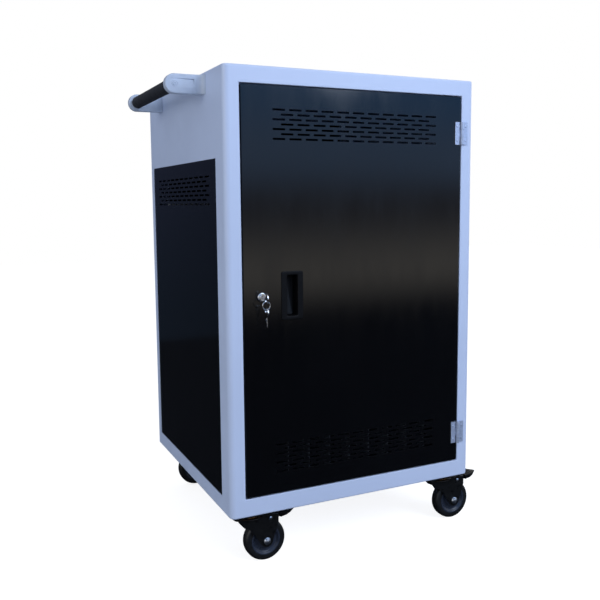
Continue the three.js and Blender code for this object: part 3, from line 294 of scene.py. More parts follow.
def joined(*shapes):
    """Several shapes as one, each one's faces counted on from the points before it."""
    starts = np.cumsum([0] + [len(points) for points, _ in shapes]).tolist()
    faces = [[i + start for i in face] for (_, own), start in zip(shapes, starts) for face in own]
    return np.concatenate([points for points, _ in shapes]), faces


def moved(shape, by=(0, 0, 0), turn=np.eye(3)):
    """The same shape turned by a 3 by 3 matrix and then moved."""
    points, faces = shape
    return points @ turn.T + by, faces


def placed(name, data):
    """A new object in the scene."""
    made = bpy.data.objects.new(name, data)
    bpy.context.scene.collection.objects.link(made)
    return made


def piece(name, shape, look, body, replaces=(), bevel=0.0, sharp=38, closed=True, thickness=0.0):
    """Puts a shape into the scene, riding on a body, in place of the solids that it replaces."""
    points, faces = shape
    mesh = bpy.data.meshes.new(name)
    mesh.from_pydata(np.asarray(points) + ORIGIN, [], faces)
    worked = bmesh.new()
    worked.from_mesh(mesh)
    bmesh.ops.remove_doubles(worked, verts=worked.verts, dist=TOUCH)
    if closed:
        bmesh.ops.recalc_face_normals(worked, faces=worked.faces)
    worked.to_mesh(mesh)
    worked.free()
    mesh.polygons.foreach_set("use_smooth", np.ones(len(mesh.polygons), bool))
    mesh.set_sharp_from_angle(angle=np.radians(sharp))
    if not closed:
        sides, folds = np.empty(len(mesh.loops), int), np.empty(len(mesh.edges), bool)
        mesh.loops.foreach_get("edge_index", sides)
        mesh.edges.foreach_get("use_edge_sharp", folds)
        rim = np.bincount(sides, minlength=len(folds)) == 1
        mesh.edges.foreach_set("use_edge_sharp", folds | rim)
    mesh.materials.append(finish(look))
    made = placed(name, mesh)
    if thickness:
        wall = made.modifiers.new("Wall", "SOLIDIFY")
        wall.thickness, wall.offset, wall.use_even_offset = thickness, -1, True
    if bevel:
        edge = made.modifiers.new("Edges", "BEVEL")
        edge.width, edge.segments, edge.harden_normals = bevel, 2, True
        edge.limit_method, edge.angle_limit = "ANGLE", np.radians(sharp)
    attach(made, body)
    if replaces:
        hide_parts(*replaces)


def dress(look, *names):
    """Gives solids that stay in view their finish."""
    for name in names:
        for place in frame["nodes"][name].material_slots:
            place.material = finish(look)


# Finishes: each reads the piece's Object coordinates, and varies its colour, gloss and surface.


class Nodes:
    """A node tree in the making."""

    def __init__(self, owner):
        owner.use_nodes = True
        self.tree = owner.node_tree

    def feed(self, node, *places, **sockets):
        """Sets a node's sockets, by place or name, or links them to a node or an output."""
        named = ((key.replace("_", " "), value) for key, value in sockets.items())
        for key, value in (*enumerate(places), *named):
            value = value.outputs[0] if isinstance(value, bpy.types.Node) else value
            if isinstance(value, bpy.types.NodeSocket):
                self.tree.links.new(value, node.inputs[key])
            else:
                node.inputs[key].default_value = value

    def node(self, kind, *places, **sockets):
        """A new shader node, fed."""
        made = self.tree.nodes.new("ShaderNode" + kind)
        self.feed(made, *places, **sockets)
        return made

    def math(self, operation, *values):
        """Arithmetic on two values."""
        made = self.node("Math", *values)
        made.operation = operation
        return made


class Recipe(Nodes):
    """A material in the making: a Principled shader and the textures that feed it."""

    def __init__(self, name, tone):
        self.material = bpy.data.materials.new(name)
        super().__init__(self.material)
        self.tone = np.array(tone)
        self.shader = self.tree.nodes["Principled BSDF"]
        self.where = self.node("TexCoord").outputs["Object"]

    def texture(self, kind, stretch, **settings):
        """A pattern over the piece, stretched along an axis where the grain has a direction."""
        where = self.node("Mapping", Vector=self.where, Scale=stretch) if stretch else self.where
        return self.node("Tex" + kind, Vector=where, **settings)

    def noise(self, scale, detail=2.0, roughness=0.5, stretch=None):
        """Cloudy noise from 0 to 1."""
        return self.texture("Noise", stretch, Scale=scale, Detail=detail, Roughness=roughness)

    def cells(self, scale, stretch=None):
        """Distances in a pattern of cells."""
        return self.texture("Voronoi", stretch, Scale=scale)

    def tint(self, pattern, less, more, low=LOW, high=HIGH):
        """The colour times factors that go from one to another over a pattern."""
        ramp = self.node("ValToRGB", Fac=pattern)
        for element, place, factor in zip(ramp.color_ramp.elements, (low, high), (less, more)):
            element.position, element.color = place, (*np.clip(self.tone * factor, 0, 1), 1)
        self.feed(self.shader, Base_Color=ramp)

    def gloss(self, pattern, least, most):
        """Roughness that goes from one level to another over a pattern."""
        self.feed(self.shader, Roughness=self.node("MapRange", pattern, LOW, HIGH, least, most))

    def relief(self, *layers):
        """Bumps laid one over another, each a pattern, its depth in metres and its strength."""
        below = {}
        for pattern, depth, strength in layers:
            bump = self.node("Bump", Height=pattern, Distance=depth, Strength=strength, **below)
            below = {"Normal": bump}
        self.feed(self.shader, **below)


def powder_coat(r):
    """Satin powder coat: a fine orange peel over barely uneven colour."""
    r.tint(r.noise(3.0, 3), 0.965, 1.02)
    r.gloss(r.noise(40), 0.34, 0.46)
    r.relief((r.noise(620, 1), 0.00012, 0.22), (r.noise(9), 0.0012, 0.05))
    r.feed(r.shader, Specular_IOR_Level=0.4)


def gloss_enamel(r):
    """Gloss enamel on thin sheet: faint waves in the sheet, thin dust and wiped streaks."""
    streaks = r.noise(7, 4, 0.6, (3.0, 3.0, 0.6))
    r.tint(r.noise(2.2, 4), 0.8, 1.25)
    r.gloss(streaks, 0.08, 0.15)
    r.relief((r.noise(5.5, 1), 0.0016, 0.05), (r.noise(420, 1), 0.00004, 0.1))
    r.feed(r.shader, Specular_IOR_Level=0.42)


def moulded(r, least, most, grain=900, specular=0.32):
    """Moulded plastic: a fine spark-eroded grain."""
    r.tint(r.noise(25, 3), 0.9, 1.1)
    r.gloss(r.noise(60, 3), least, most)
    r.relief((r.noise(grain, 2), 0.0001, 0.25))
    r.feed(r.shader, Specular_IOR_Level=specular)


def foam_sleeve(r):
    """Closed-cell foam: small cells that catch a little light."""
    r.tint(r.noise(180, 3), 0.7, 1.4)
    r.gloss(r.noise(90), 0.72, 0.88)
    r.relief((r.cells(700), 0.0003, 0.35), (r.noise(60), 0.0005, 0.15))
    r.feed(r.shader, Specular_IOR_Level=0.3)


def plated(r, least, most, metallic=1.0):
    """Zinc plating: faint spangles and fine rolling lines."""
    r.tint(r.cells(160, (1, 1, 1.6)), 0.82, 1.06, low=0.0, high=0.9)
    r.gloss(r.noise(120, 4), least, most)
    r.relief((r.noise(300, 3, 0.6, (6, 6, 0.4)), 0.00008, 0.18))
    r.feed(r.shader, Metallic=metallic)


def yellow_plated(r):
    """Yellow passivated zinc: gold that drifts towards red and green over the piece."""
    r.tint(r.noise(45, 3, 0.6), [1.06, 0.86, 0.7], [0.94, 1.1, 1.15])
    r.gloss(r.noise(90, 3), 0.26, 0.42)
    r.relief((r.noise(500, 2), 0.00006, 0.15))
    r.feed(r.shader, Metallic=0.5)


def chromed(r):
    """Polished chrome with hair-fine scratches."""
    r.tint(r.noise(90, 3), 0.88, 1.03)
    r.gloss(r.noise(260, 4, 0.7), 0.07, 0.2)
    r.relief((r.noise(900, 3, 0.6, (1, 0.15, 1)), 0.00004, 0.12))
    r.feed(r.shader, Metallic=1.0)


def stamped_black(r):
    """Black paint on stamped steel, worn a little brighter in clouds."""
    r.tint(r.noise(70, 4, 0.6), 0.75, 1.7)
    r.gloss(r.noise(110, 3), 0.26, 0.44)
    r.relief((r.noise(420, 2), 0.0001, 0.2))
    r.feed(r.shader, Coat_Weight=0.15, Coat_Roughness=0.2)


def wheel_rubber(r):
    """Tyre rubber: dusty, with a fine tooth."""
    r.tint(r.noise(35, 5, 0.65), 0.8, 2.0)
    r.gloss(r.noise(50, 3), 0.42, 0.62)
    r.relief((r.noise(650, 3), 0.00015, 0.3))
    r.feed(r.shader, Specular_IOR_Level=0.4)


# For each colour: what makes the finish, its material's name, its pieces' slot, and levels for the maker.
FINISHES = {
    "white": (powder_coat, "white_powder_coat", "white_paint"),
    "black": (gloss_enamel, "black_gloss_enamel", None),
    "inside": (powder_coat, "inner_powder_coat", None),
    "plastic": (moulded, "black_moulding", "black_plastic", 0.44, 0.58, 900, 0.14),
    "pale": (moulded, "white_moulding", "white_plastic", 0.34, 0.46, 700),
    "foam": (foam_sleeve, "grip_foam", "grip_foam"),
    "case": (powder_coat, "case_coat", None),
    "steel": (plated, "bright_zinc", "bright_steel", 0.24, 0.4),
    "hinge": (plated, "satin_zinc", "bright_steel", 0.46, 0.6, 0.5),
    "chrome": (chromed, "chrome_plate", "chrome"),
    "zinc": (yellow_plated, "yellow_zinc", "yellow_zinc"),
    "fork": (stamped_black, "stamped_black", "black_steel"),
    "tyre": (wheel_rubber, "tyre_rubber", "tyre"),
    "hub": (moulded, "hub_moulding", "black_plastic", 0.2, 0.32),
}


@cache
def finish(look):
    """The finish of that name, made at its first use."""
    maker, name, _, *levels = FINISHES[look]
    recipe = Recipe(name, getattr(bpy.context.scene.cart.colours, look))
    maker(recipe, *levels)
    return recipe.material


def side_wall(s, side):
    """A side: a rounded line in plan carried up through four levels, with the panel's opening left out.
    Side is -1 for the left one, and 1 for its mirror image."""
    inset = HALF_WIDTH - s.corner - s.overlap
    front, rear = -HALF_DEPTH + s.panel_front, HALF_DEPTH - s.panel_rear
    points = np.array([
        (-inset, -HALF_DEPTH), (-HALF_WIDTH, -HALF_DEPTH), (-HALF_WIDTH, front),
        (-HALF_WIDTH, rear), (-HALF_WIDTH, HALF_DEPTH), (-inset, HALF_DEPTH),
    ])
    line = rounded(points, [0, s.corner, 0, 0, s.corner, 0], 12)
    skirt = s.fold + s.sheet
    levels = (skirt, s.panel_bottom, HEIGHT - s.panel_top, HEIGHT - skirt)
    solid = np.stack([lay(line, level, "xy") for level in levels], 1)
    faces = grid(len(line), len(levels), False).reshape(len(line) - 1, len(levels) - 1, 4)
    x, y = ((line[1:] + line[:-1]) / 2).T
    beside = (x < -HALF_WIDTH + TOUCH) & (y > front) & (y < rear)
    keep = ~(beside[:, None] & (np.arange(len(levels) - 1) == 1))
    return solid.reshape(-1, 3) * [-side, 1, 1], faces[keep][:, ::-side].tolist()


def door_frame(s, hole):
    """A door's frame: rectangles from the weld to the opening, round its fold, back, and at the top and the
    sides in to a lip. A hole in the bottom rail has its corners joined to the rail's."""
    bottom_face, lip_faces = 5, [1, 3, 7]
    bend = 1.6 * s.sheet
    edge, skirt = HALF_WIDTH - s.stile, s.fold + s.sheet
    low, high = s.bottom_rail, HEIGHT - s.top_rail
    back = -HALF_DEPTH + s.stop_depth

    def ring(half, bottom, top, y):
        return lay(outline(-half, half, bottom, top, 0, 1), y, "xz")

    inset, sunk = fillet(bend, 6)
    loops = [
        ring(HALF_WIDTH - s.corner - s.overlap, skirt, HEIGHT - skirt, -HALF_DEPTH),
        *(ring(edge + i, low - i, high + i, -HALF_DEPTH + d)
          for i, d in zip([bend + EASE, *inset], [0, *sunk])),
        ring(edge, low, high, back),
        ring(edge - s.stop_lip, low, high - s.stop_lip, back),
    ]
    faces = grid(len(loops), len(loops[0]), True).reshape(len(loops) - 1, -1, 4)
    kept = [*faces[:-1].reshape(-1, 4).tolist(), *faces[-1, lip_faces].tolist()]
    if hole:
        rail, count = kept.pop(bottom_face), len(loops) * len(loops[0])
        x0, x1, z0, z1 = hole
        loops.append(lay(np.array([(x0, z0), (x1, z0), (x1, z1), (x0, z1)]), -HALF_DEPTH, "xz"))
        kept += [[rail[k - 1], rail[k], count + k, count + (k - 1) % 4] for k in (1, 2, 3, 0)]
    return np.concatenate(loops), kept


def turned_sheet(s):
    """A sheet with its rim turned: rounded rectangles r (1 - sin a) in at heights r (1 - cos a)."""
    skirt = s.fold + s.sheet
    inset, rise = fillet(s.fold, 6)
    inset = [s.fold + EASE, *inset, 0, s.sheet, s.sheet]
    rise = [0, *rise, skirt, skirt, s.sheet]
    x, y = HALF_WIDTH, HALF_DEPTH
    return loft([
        lay(outline(-x + i, x - i, -y + i, y - i, s.corner - i, 12), r, "xy") for i, r in zip(inset, rise)
    ])


class CART_OT_shell(Operator):
    """Makes the white shell: two side walls, the welded frames round the doors, the lid and the base"""

    bl_idname = "cart.shell"
    bl_label = "Shell"

    def execute(self, context):
        s = context.scene.cart.cabinet
        for side, hand in ((-1, "left"), (1, "right")):
            piece(f"{hand}_wall", side_wall(s, side), "white", "cabinet", [f"{hand}_side_wall"],
                  closed=False, thickness=s.sheet)
        low, high, *_ = span("power_inlet")
        lap_x, lap_z = 0.0037, 0.0027  # how far the inlet's flange covers the frame
        hole = (-high[0] + lap_x, -low[0] - lap_x, low[2] + lap_z, high[2] - lap_z)
        for door, turn in DOORS:
            border = door_frame(s, hole if door == "rear" else None)
            piece(f"{door}_frame", moved(border, turn=np.diag([turn, turn, 1])), "white", "cabinet",
                  closed=False, thickness=s.sheet)
        piece("base", turned_sheet(s), "white", "cabinet", ["base_pan"])
        lid = moved(turned_sheet(s), (0, 0, HEIGHT), np.diag([1, -1, -1]))
        piece("lid", lid, "white", "cabinet", ["top_cover"])
        return {"FINISHED"}


class CART_OT_panels(Operator):
    """Finishes the gloss-black doors and side panels"""

    bl_idname = "cart.panels"
    bl_label = "Doors and panels"

    def execute(self, context):
        dress("black", "front_door", "rear_door", "left_vent_panel", "right_vent_panel")
        return {"FINISHED"}


class CART_OT_inside(Operator):
    """Finishes the racks, shelves and power gear inside the cabinet"""

    bl_idname = "cart.inside"
    bl_label = "Inside"

    def execute(self, context):
        dress("inside", "lower_divider_rack", "upper_divider_rack", "middle_shelf", "top_shelf",
              "lower_cable_wall", "upper_cable_wall")
        dress("plastic", "lower_power_strip", "upper_power_strip", "power_inlet", "power_switch_rocker")
        dress("case", "power_module")
        return {"FINISHED"}


def handle_arm(node, side, edge, foot):
    """A moulded arm lofted along X: sections sqrt(r^2 - d^2) tall at its round end, a recess in the outer
    face that deepens upwards and towards the wall, and a foot that curves out by R (1 - cos u)."""
    (tip, *_), (wall, *_), (_, middle_y, middle_z), (_, depth, radius) = span(node)
    sunk, step, slack = 0.0032, 0.00015, 0.95
    start, stop, floor, brim = tip + 0.011, wall - 0.0215, -0.009, 0.0112
    t, u = np.linspace(0.05, TURN / 4, 18), np.linspace(0, np.radians(80), 12)
    x = np.concatenate([
        tip + radius * (1 - np.cos(t)), np.linspace(tip + radius, stop - step, 10)[1:], [stop + step],
        wall - foot + foot * np.sin(u) / np.sin(u[-1]),
    ])
    out = np.concatenate([np.zeros(len(x) - len(u)), foot * (1 - np.cos(u))])
    face_z = np.sort([*np.linspace(-radius, radius, 15), floor, brim - step, brim + step])
    a = np.linspace(0, TURN / 4, 5)
    loops = []
    for across, away in zip(x, out):
        tall = np.sqrt(radius**2 - max(0, radius - (across - tip)) ** 2)
        half = depth - edge + np.sqrt(edge**2 - max(0, edge - (across - tip)) ** 2)
        e = min(edge, tall * slack, half * slack)
        z = np.clip(face_z, e - tall, tall - e)
        along = np.clip((across - start) / (stop - start), 0, 1) * (across < stop)
        fall = np.clip((z - floor) / (brim - floor), 0, 1) * (z < brim)
        front, back, top = -half - away + e, half - e, tall - e
        sin, cos = e * np.sin(a), e * np.cos(a)
        face = front - e + sunk * along * fall
        y = np.concatenate([face, front - cos, back + sin, back + cos, front - sin])
        z = np.concatenate([z, top + sin, top + cos, -top - sin, -top - cos])
        loops.append(lay(np.stack([y, z], -1), across, "yz"))
    return moved(loft(loops), (0, middle_y, middle_z), np.diag([1, -side, 1]))


class CART_OT_handle(Operator):
    """Makes the push handle: two moulded arms, their screw caps and the foam grip"""

    bl_idname = "cart.handle"
    bl_label = "Push handle"

    def execute(self, context):
        f = context.scene.cart.fittings
        *_, middle, (_, half, radius) = span("handle_grip")
        cap = np.array([
            (0, 0.0003), (0.0014, 0.0003), (0.0017, 0.0011), (0.0042, 0.0010), (0.0048, 0.0002),
            (0.0058, 0.0002), (0.0062, 0.0008), (0.0068, 0.0006), (0.0070, -0.001), (0, -0.001),
        ])
        for node, side, outer in (("handle_front_arm", -1, 0), ("handle_rear_arm", 1, 1)):
            arm = handle_arm(node, side, f.arm_edge, f.arm_foot)
            piece(node.replace("handle", "push"), arm, "pale", "cabinet", [node], sharp=50)
            place = (middle[0], span(node)[outer][1], middle[2])
            piece(f"{node}_screw_cap", lathe(cap * [1, side], "y", 28, place), "pale", "cabinet")
        edge, wall = 0.002, 0.0037
        inset, sunk = fillet(edge)
        end = np.stack([radius - inset, half - sunk], -1)
        bore = [(radius - wall, -half), (radius - wall, half)]
        profile = np.concatenate([bore[1:], end, end[::-1] * [1, -1], bore])
        piece("push_grip", lathe(profile, "y", 40, middle), "foam", "cabinet", ["handle_grip"])
        dress("steel", "handle_tube")
        return {"FINISHED"}


def leaf(f, half, reach, on_door):
    """A leaf beside a pin at the origin: a plate, a tab to each turned knuckle, and screw heads."""
    third = half / 3
    back, front = f.hinge_knuckle, f.hinge_knuckle - f.hinge_leaf
    clear = f.hinge_knuckle + 0.0006
    corner, lap, tuck, chamfer, crown = 0.0018, 0.001, 0.00005, 0.0004, 0.0006
    shapes = [prism(outline(clear, reach, -half, half, (corner, 0, 0, corner)), front, back, "xz")]
    spans = [(-third, third)] if on_door else [(third + SEAM, half), (-half, -third - SEAM)]
    for z0, z1 in spans:
        tab = outline(0, clear + lap, z0 + tuck, z1 - tuck, 0)
        shapes.append(prism(tab, front + tuck, back - tuck, "xz"))
        r, c = f.hinge_knuckle, chamfer
        bore = f.hinge_pin + SEAM if on_door else 0
        profile = [(bore, z0), (r - c, z0), (r, z0 + c), (r, z1 - c), (r - c, z1), (bore, z1)]
        shapes.append(lathe([*profile, profile[0]] if on_door else profile, "z", 28))
    if not on_door:
        p, end = f.hinge_pin, half + chamfer
        shapes.append(lathe([(0, -half - crown), (p, -end), (p, end), (0, half + crown)], "z", 20))
    dome = np.array([(0, 0.0010), (0.5, 0.0009), (0.9, 0.0004), (1, 0), (0, 0)])
    head = dome * [f.screw_head, -1] + [0, front]
    screw_x, screw_z = 0.68 * reach, 0.62 * half
    shapes += [lathe(head, "y", 20, (screw_x, 0, z)) for z in (-screw_z, screw_z)]
    points, faces = joined(*shapes)
    return (points * [-1, 1, 1], faces) if on_door else (points, faces)


class CART_OT_hinges(Operator):
    """Makes the door hinges: plated leaves, knuckles, pins and screws"""

    bl_idname = "cart.hinges"
    bl_label = "Hinges"

    def execute(self, context):
        f = context.scene.cart.fittings
        for door, turn in DOORS:
            pin = JOINTS[f"{door}_door_hinge"]
            for level in ("upper", "lower"):
                for kind, body in (("frame", "cabinet"), ("door", f"{door}_door")):
                    node = f"{door}_{level}_hinge_{kind}_leaf"
                    low, high, middle, half = span(node)
                    reach = max(abs(low[0] - pin[0]), abs(high[0] - pin[0]))
                    shape = leaf(f, half[2], reach, kind == "door")
                    shape = moved(shape, (pin[0], pin[1], middle[2]), np.diag([turn, turn, 1]))
                    piece(f"{door}_{level}_{kind}_leaf", shape, "hinge", body, [node], bevel=FINE_BEVEL)
        return {"FINISHED"}


def lock_barrel(f, head):
    """A turned head and body, radius over depth, with a quarter round at the head's edge, and a nut."""
    edge, lead, seat, back, bore = 0.0013, 0.0006, -SEAM, 0.016, 0.0063
    body = f.lock_head - 0.001
    inset, sunk = fillet(edge)
    lip = np.stack([f.lock_head - inset, head + sunk], -1)
    profile = [(bore, head + lead), (bore + lead, head), *lip, (f.lock_head, seat), (body, seat),
               (body, back), (bore, back), (bore, head + lead)]
    inner, outer, near, far = body - 0.001, 0.01386, 0.0018, 0.0068
    nut = [(inner, near), (outer, near), (outer, far), (inner, far), (inner, near)]
    return joined(lathe(profile, "y", 40), lathe(nut, "y", 6))


def lock_plug(head):
    """The core that turns: a chamfered face, a shank, and a thinner end for the cam."""
    face, shoulder, back = head + 0.0002, 0.0192, 0.0226
    radius, chamfer, end = 0.006, 0.0006, 0.004
    return lathe([(0, face), (radius - chamfer, face), (radius, face + chamfer), (radius, shoulder),
                  (end, shoulder), (end, back), (0, back)], "y", 32)


def toothed_key(f, hole):
    """A key in the YZ plane, its bow at the origin: a disc skinned round a hole, and a toothed blade."""
    half, steps, bore, cut = 0.0011, 40, 0.004, 0.0019
    bow, eye = circle(0, 0, f.key_bow, steps), circle(*hole, bore, steps)
    rims = ((bow, half), (eye, half), (eye, -half), (bow, -half))
    disc = loft([lay(rim, x, "yz") for rim, x in rims], True)
    w = f.key_blade / 2
    neck = np.sqrt(f.key_bow**2 - w**2) - 0.001
    along = neck + np.linspace(0.006, 0.022, 9)
    teeth = w - cut * np.array([0, 1, 0.35, 1, 0.6, 0.2, 1, 0.5, 0])
    tip = [(neck, -w), (neck + 0.0225, -w), (neck + 0.025, 0)]
    blade = np.concatenate([tip, np.stack([along, teeth], -1)[::-1], [(neck, w)]])
    groove = outline(neck + 0.002, neck + 0.021, -0.0012, -0.0002, 0.0003, 2)
    return joined(disc, prism(blade, -half * 0.9, half * 0.9, "yz"), prism(groove, -half, half, "yz"))


class CART_OT_locks(Operator):
    """Makes the cam locks, the key in the front one, its ring and the spare key"""

    bl_idname = "cart.locks"
    bl_label = "Locks and keys"

    def execute(self, context):
        f = context.scene.cart.fittings
        for door, turn in DOORS:
            axis = JOINTS[f"{door}_lock_turn"]
            place, facing = (axis[0], -turn * HALF_DEPTH, axis[2]), np.diag([turn, turn, 1])
            low, high, *_ = span(f"{door}_lock_barrel")
            head = low[1] + HALF_DEPTH if turn > 0 else HALF_DEPTH - high[1]
            # The keyway is no hole: a thin black slab on the plug's face is painted shade where the slot
            # would be.
            keyway_shade = outline(-0.0013, 0.0013, -0.0042, 0.0042, 0.0005, 2)
            barrel, plug, shade_slab = (moved(shape, place, facing) for shape in (
                lock_barrel(f, head), lock_plug(head), prism(keyway_shade, head + 0.0001, head + 0.0012, "xz")
            ))
            piece(f"{door}_lock_housing", barrel, "chrome", f"{door}_door", [f"{door}_lock_barrel"])
            piece(f"{door}_lock_core", plug, "chrome", f"{door}_lock", [f"{door}_lock_plug"])
            piece(f"{door}_keyway", shade_slab, "plastic", f"{door}_lock")
            dress("steel", f"{door}_lock_cam")
        x, _, z = JOINTS["front_lock_turn"]
        y, eye = JOINTS["key_ring_swing"][1], 0.004
        key = moved(toothed_key(f, (0, -eye)), (x, y, z))
        piece("lock_key", key, "chrome", "front_lock", ["front_lock_key"], bevel=FINE_BEVEL)
        *_, middle, half = span("key_ring")
        loop = circle(half[2] - f.ring_wire, 0, f.ring_wire, 12)
        ring = lathe([*loop, loop[0]], "y", 56, (x, y, middle[2]))
        piece("split_ring", ring, "chrome", "key_ring", ["key_ring"])
        top = span("spare_key")[1][2]
        hang = np.array([(1, 0, 0), (0, 0, 1), (0, -1, 0)])
        spare = moved(toothed_key(f, (-eye, 0)), (x, y, top - f.key_bow), hang)
        piece("hanging_key", spare, "chrome", "key_ring", ["spare_key"], bevel=FINE_BEVEL)
        return {"FINISHED"}


def pull_cup(node):
    """Rounded rectangles lofted from the cup's back to its seat, over the rim and down the recess, whose
    depth follows the sine of its progress while its walls draw in."""
    (_, face, _), (_, back, _), (x, _, z), (wide, _, tall) = span(node)
    seat, rim, edge = -HALF_DEPTH - SEAM, 0.005, 0.0012
    mouth, mouth_tall, floor = 0.0134, 0.0465, back - 0.002
    cup_corner, rim_corner, mouth_corner = 0.003, 0.005, 0.004
    left, right, ends = 0.001, 0.005, 0.002  # how far the recess's walls draw in

    def ring(x0, x1, half, y, radius):
        return lay(outline(x + x0, x + x1, z - half, z + half, radius, 6), y, "xz")

    wall, wall_tall = wide - rim, tall - rim
    inset, sunk = fillet(edge)
    t = np.linspace(0, 1, 7)[1:]
    depth = face + edge + (floor - face - edge) * np.sin(t * TURN / 4)
    return loft([
        ring(-wall, wall, wall_tall, back, cup_corner),
        ring(-wall, wall, wall_tall, seat, cup_corner),
        ring(-wide, wide, tall, seat, rim_corner),
        *(ring(-wide + i, wide - i, tall - i, face + d, rim_corner) for i, d in zip(sunk, inset)),
        *(ring(-mouth - i, mouth + i, mouth_tall + i, face + d, mouth_corner) for i, d in zip(inset, sunk)),
        *(ring(-mouth + left * p, mouth - right * p**0.8, mouth_tall - ends * p, y, mouth_corner)
          for p, y in zip(t, depth)),
    ])


class CART_OT_pull(Operator):
    """Makes the recessed pull on the front door"""

    bl_idname = "cart.pull"
    bl_label = "Door pull"

    def execute(self, context):
        node = "front_pull_cup"
        piece("door_pull", pull_cup(node), "plastic", "front_door", [node], sharp=50)
        return {"FINISHED"}


def caster_plate(x, y):
    """The top plate, a chamfered rounded rectangle, with a washer and a hexagon head under each corner."""
    top, under, corner, c = -SEAM, -0.0043, 0.008, 0.0006
    rims = ((c, top), (0, top - c), (0, under + c), (c, under))
    shapes = [loft([lay(outline(-x + i, x - i, -y + i, y - i, corner - i), z, "xy") for i, z in rims])]
    washer = [(0, 0), (0.0085, 0), (0.0085, -0.0012), (0, -0.0012)]
    head = [(0, -0.001), (0.0068, -0.001), (0.0068, -0.0048), (0.0058, -0.0055), (0, -0.0055)]
    for bolt in ((-0.04, -0.03, under), (-0.04, 0.03, under), (0.04, -0.03, under), (0.04, 0.03, under)):
        shapes += [lathe(washer, "z", 24, bolt), lathe(head, "z", 6, bolt)]
    return joined(*shapes)


def caster_raceway(c):
    """The swivel's raceway and king pin, turned."""
    r = c.raceway
    return lathe([
        (0, -0.002), (r - 0.001, -0.002), (r, -0.0055), (r, -0.0085), (r - 0.002, -0.0115),
        (r - 0.006, -0.0143), (0.006, -0.0143), (0.006, -0.0179), (0.009, -0.0179), (0.009, -0.0195),
        (0.007, -0.0209), (0, -0.0209),
    ], "z", c.segments)


def caster_fork(c, axle):
    """Two pressed legs, filleted round their outline, under a crown with a turned cup."""
    sheet, inner = c.fork_sheet, c.width / 2 + WHEEL_GAP
    outer = inner + sheet
    crown, foot, waist, bore = -0.0146, 0.015, -0.0366, 0.0066
    a = np.radians(np.linspace(216, 351, 15))
    arc = np.stack([c.trail + foot * np.cos(a), axle + foot * np.sin(a)], -1)
    head = rounded(np.array([
        (0.067, waist), (0.067, crown), (-0.038, crown), (-0.019, waist), (-0.004, -0.0436), tuple(arc[0]),
    ]), [0, 0.006, 0.004, 0.008, 0.012, 0], 6)
    leg = np.concatenate([head[:-1], arc])
    cup, under = c.raceway + sheet, crown - sheet
    roof = outline(-0.036, cup, -outer + 0.0002, outer - 0.0002, 0.001, 3)
    dish = [(bore, under), (c.raceway - 0.001, under), (cup - 0.001, crown - 0.0016), (cup, crown - 0.0006),
            (cup - 0.0008, crown), (bore, crown), (bore, under)]
    return joined(
        prism(leg, -outer, -inner, "xz"), prism(leg, inner, outer, "xz"), prism(roof, under, crown, "xy"),
        lathe(dish, "z", c.segments),
    )


def wheel_tyre(c):
    """A tyre's section turned: a flat tread, and shoulders on a quarter of a superellipse."""
    t = np.linspace(0, TURN / 4, 9)
    wall, tread, rise, power = c.width / 2 - 0.001, 0.0042, 0.0085, 0.8
    along = tread + (wall - tread) * np.sin(t) ** power
    radius = c.wheel - rise + rise * np.cos(t) ** power
    side = np.stack([radius, along], -1)
    far_side = side[::-1] * [1, -1]
    profile = np.concatenate([far_side, side, [(c.rim, wall), (c.rim, -wall)], far_side[:1]])
    return lathe(profile, "y", c.segments + 24)


def wheel_hub(c):
    """A dished hub turned: boss, dish, web and a raised rim, the same on both faces."""
    half, rim = c.width / 2, c.rim - 0.0001
    boss = [(0.0053, 0), (0.0118, 0), (0.013, -0.0012), (0.014, -0.005), (0.016, -0.0062)]
    edge = np.array([(-0.0085, -0.0066), (-0.0065, -0.0056), (-0.0045, -0.0022), (-0.003, -0.001),
                     (-0.0006, -0.0009), (0, -0.0014)])
    face = np.concatenate([boss, edge + [rim, 0]]) + [0, half]
    return lathe(np.concatenate([face, face[::-1] * [1, -1], face[:1]]), "y", c.segments)


def caster_axle(c, end):
    """The axle: a shank, a domed head on a washer, and a chamfered hexagon nut."""
    seat = c.width / 2 + WHEEL_GAP + c.fork_sheet + SEAM
    shank = [(0, -seat), (0.005, -seat), (0.005, end - 0.0008), (0.0042, end), (0, end)]
    head = [(0, -end), (0.0035, -end + 0.0004), (0.0068, -end + 0.0018), (0.008, -seat - 0.0016),
            (0.0088, -seat - 0.0012), (0.009, -seat), (0, -seat)]
    nut = [(0, seat), (0.009, seat), (0.009, end - 0.002), (0.0078, end - 0.001), (0, end - 0.001)]
    return joined(lathe(shank, "y", 24), lathe(head, "y", 32), lathe(nut, "y", 6))


def brake_pedal(c):
    """A pedal lofted along X through rounded sections, each a place, half a width, a bottom and a top, with
    treads across it."""
    inside = c.width / 2 + 0.0025
    stations = np.array([
        (-0.0036, inside, -0.0016, 0.0016), (0.0, inside, -0.0036, 0.0036),
        (0.014, inside, -0.0062, 0.0049), (0.0246, inside, -0.0061, 0.0059),
        (0.0252, 0.0225, -0.0060, 0.0060), (0.040, 0.0225, -0.0052, 0.0053),
        (0.052, 0.0172, -0.0048, 0.0036), (0.062, 0.0092, -0.0044, 0.0010),
        (0.0705, 0.0022, -0.0036, -0.0012),
    ])
    corner, tread, sunk, proud, half = 0.0022, 0.0014, 0.001, 0.0009, 0.016
    shapes = [loft([
        lay(outline(-w, w, z0, z1, min(corner, (z1 - z0) / 2.2), 4), x, "yz") for x, w, z0, z1 in stations
    ])]
    for x in (0.036, 0.043, 0.050):
        top = np.interp(x, stations[:, 0], stations[:, 3])
        section = outline(x - tread, x + tread, top - sunk, top + proud, 0.0008, 3)
        shapes.append(prism(section, -half, half, "xz"))
    return joined(*shapes)


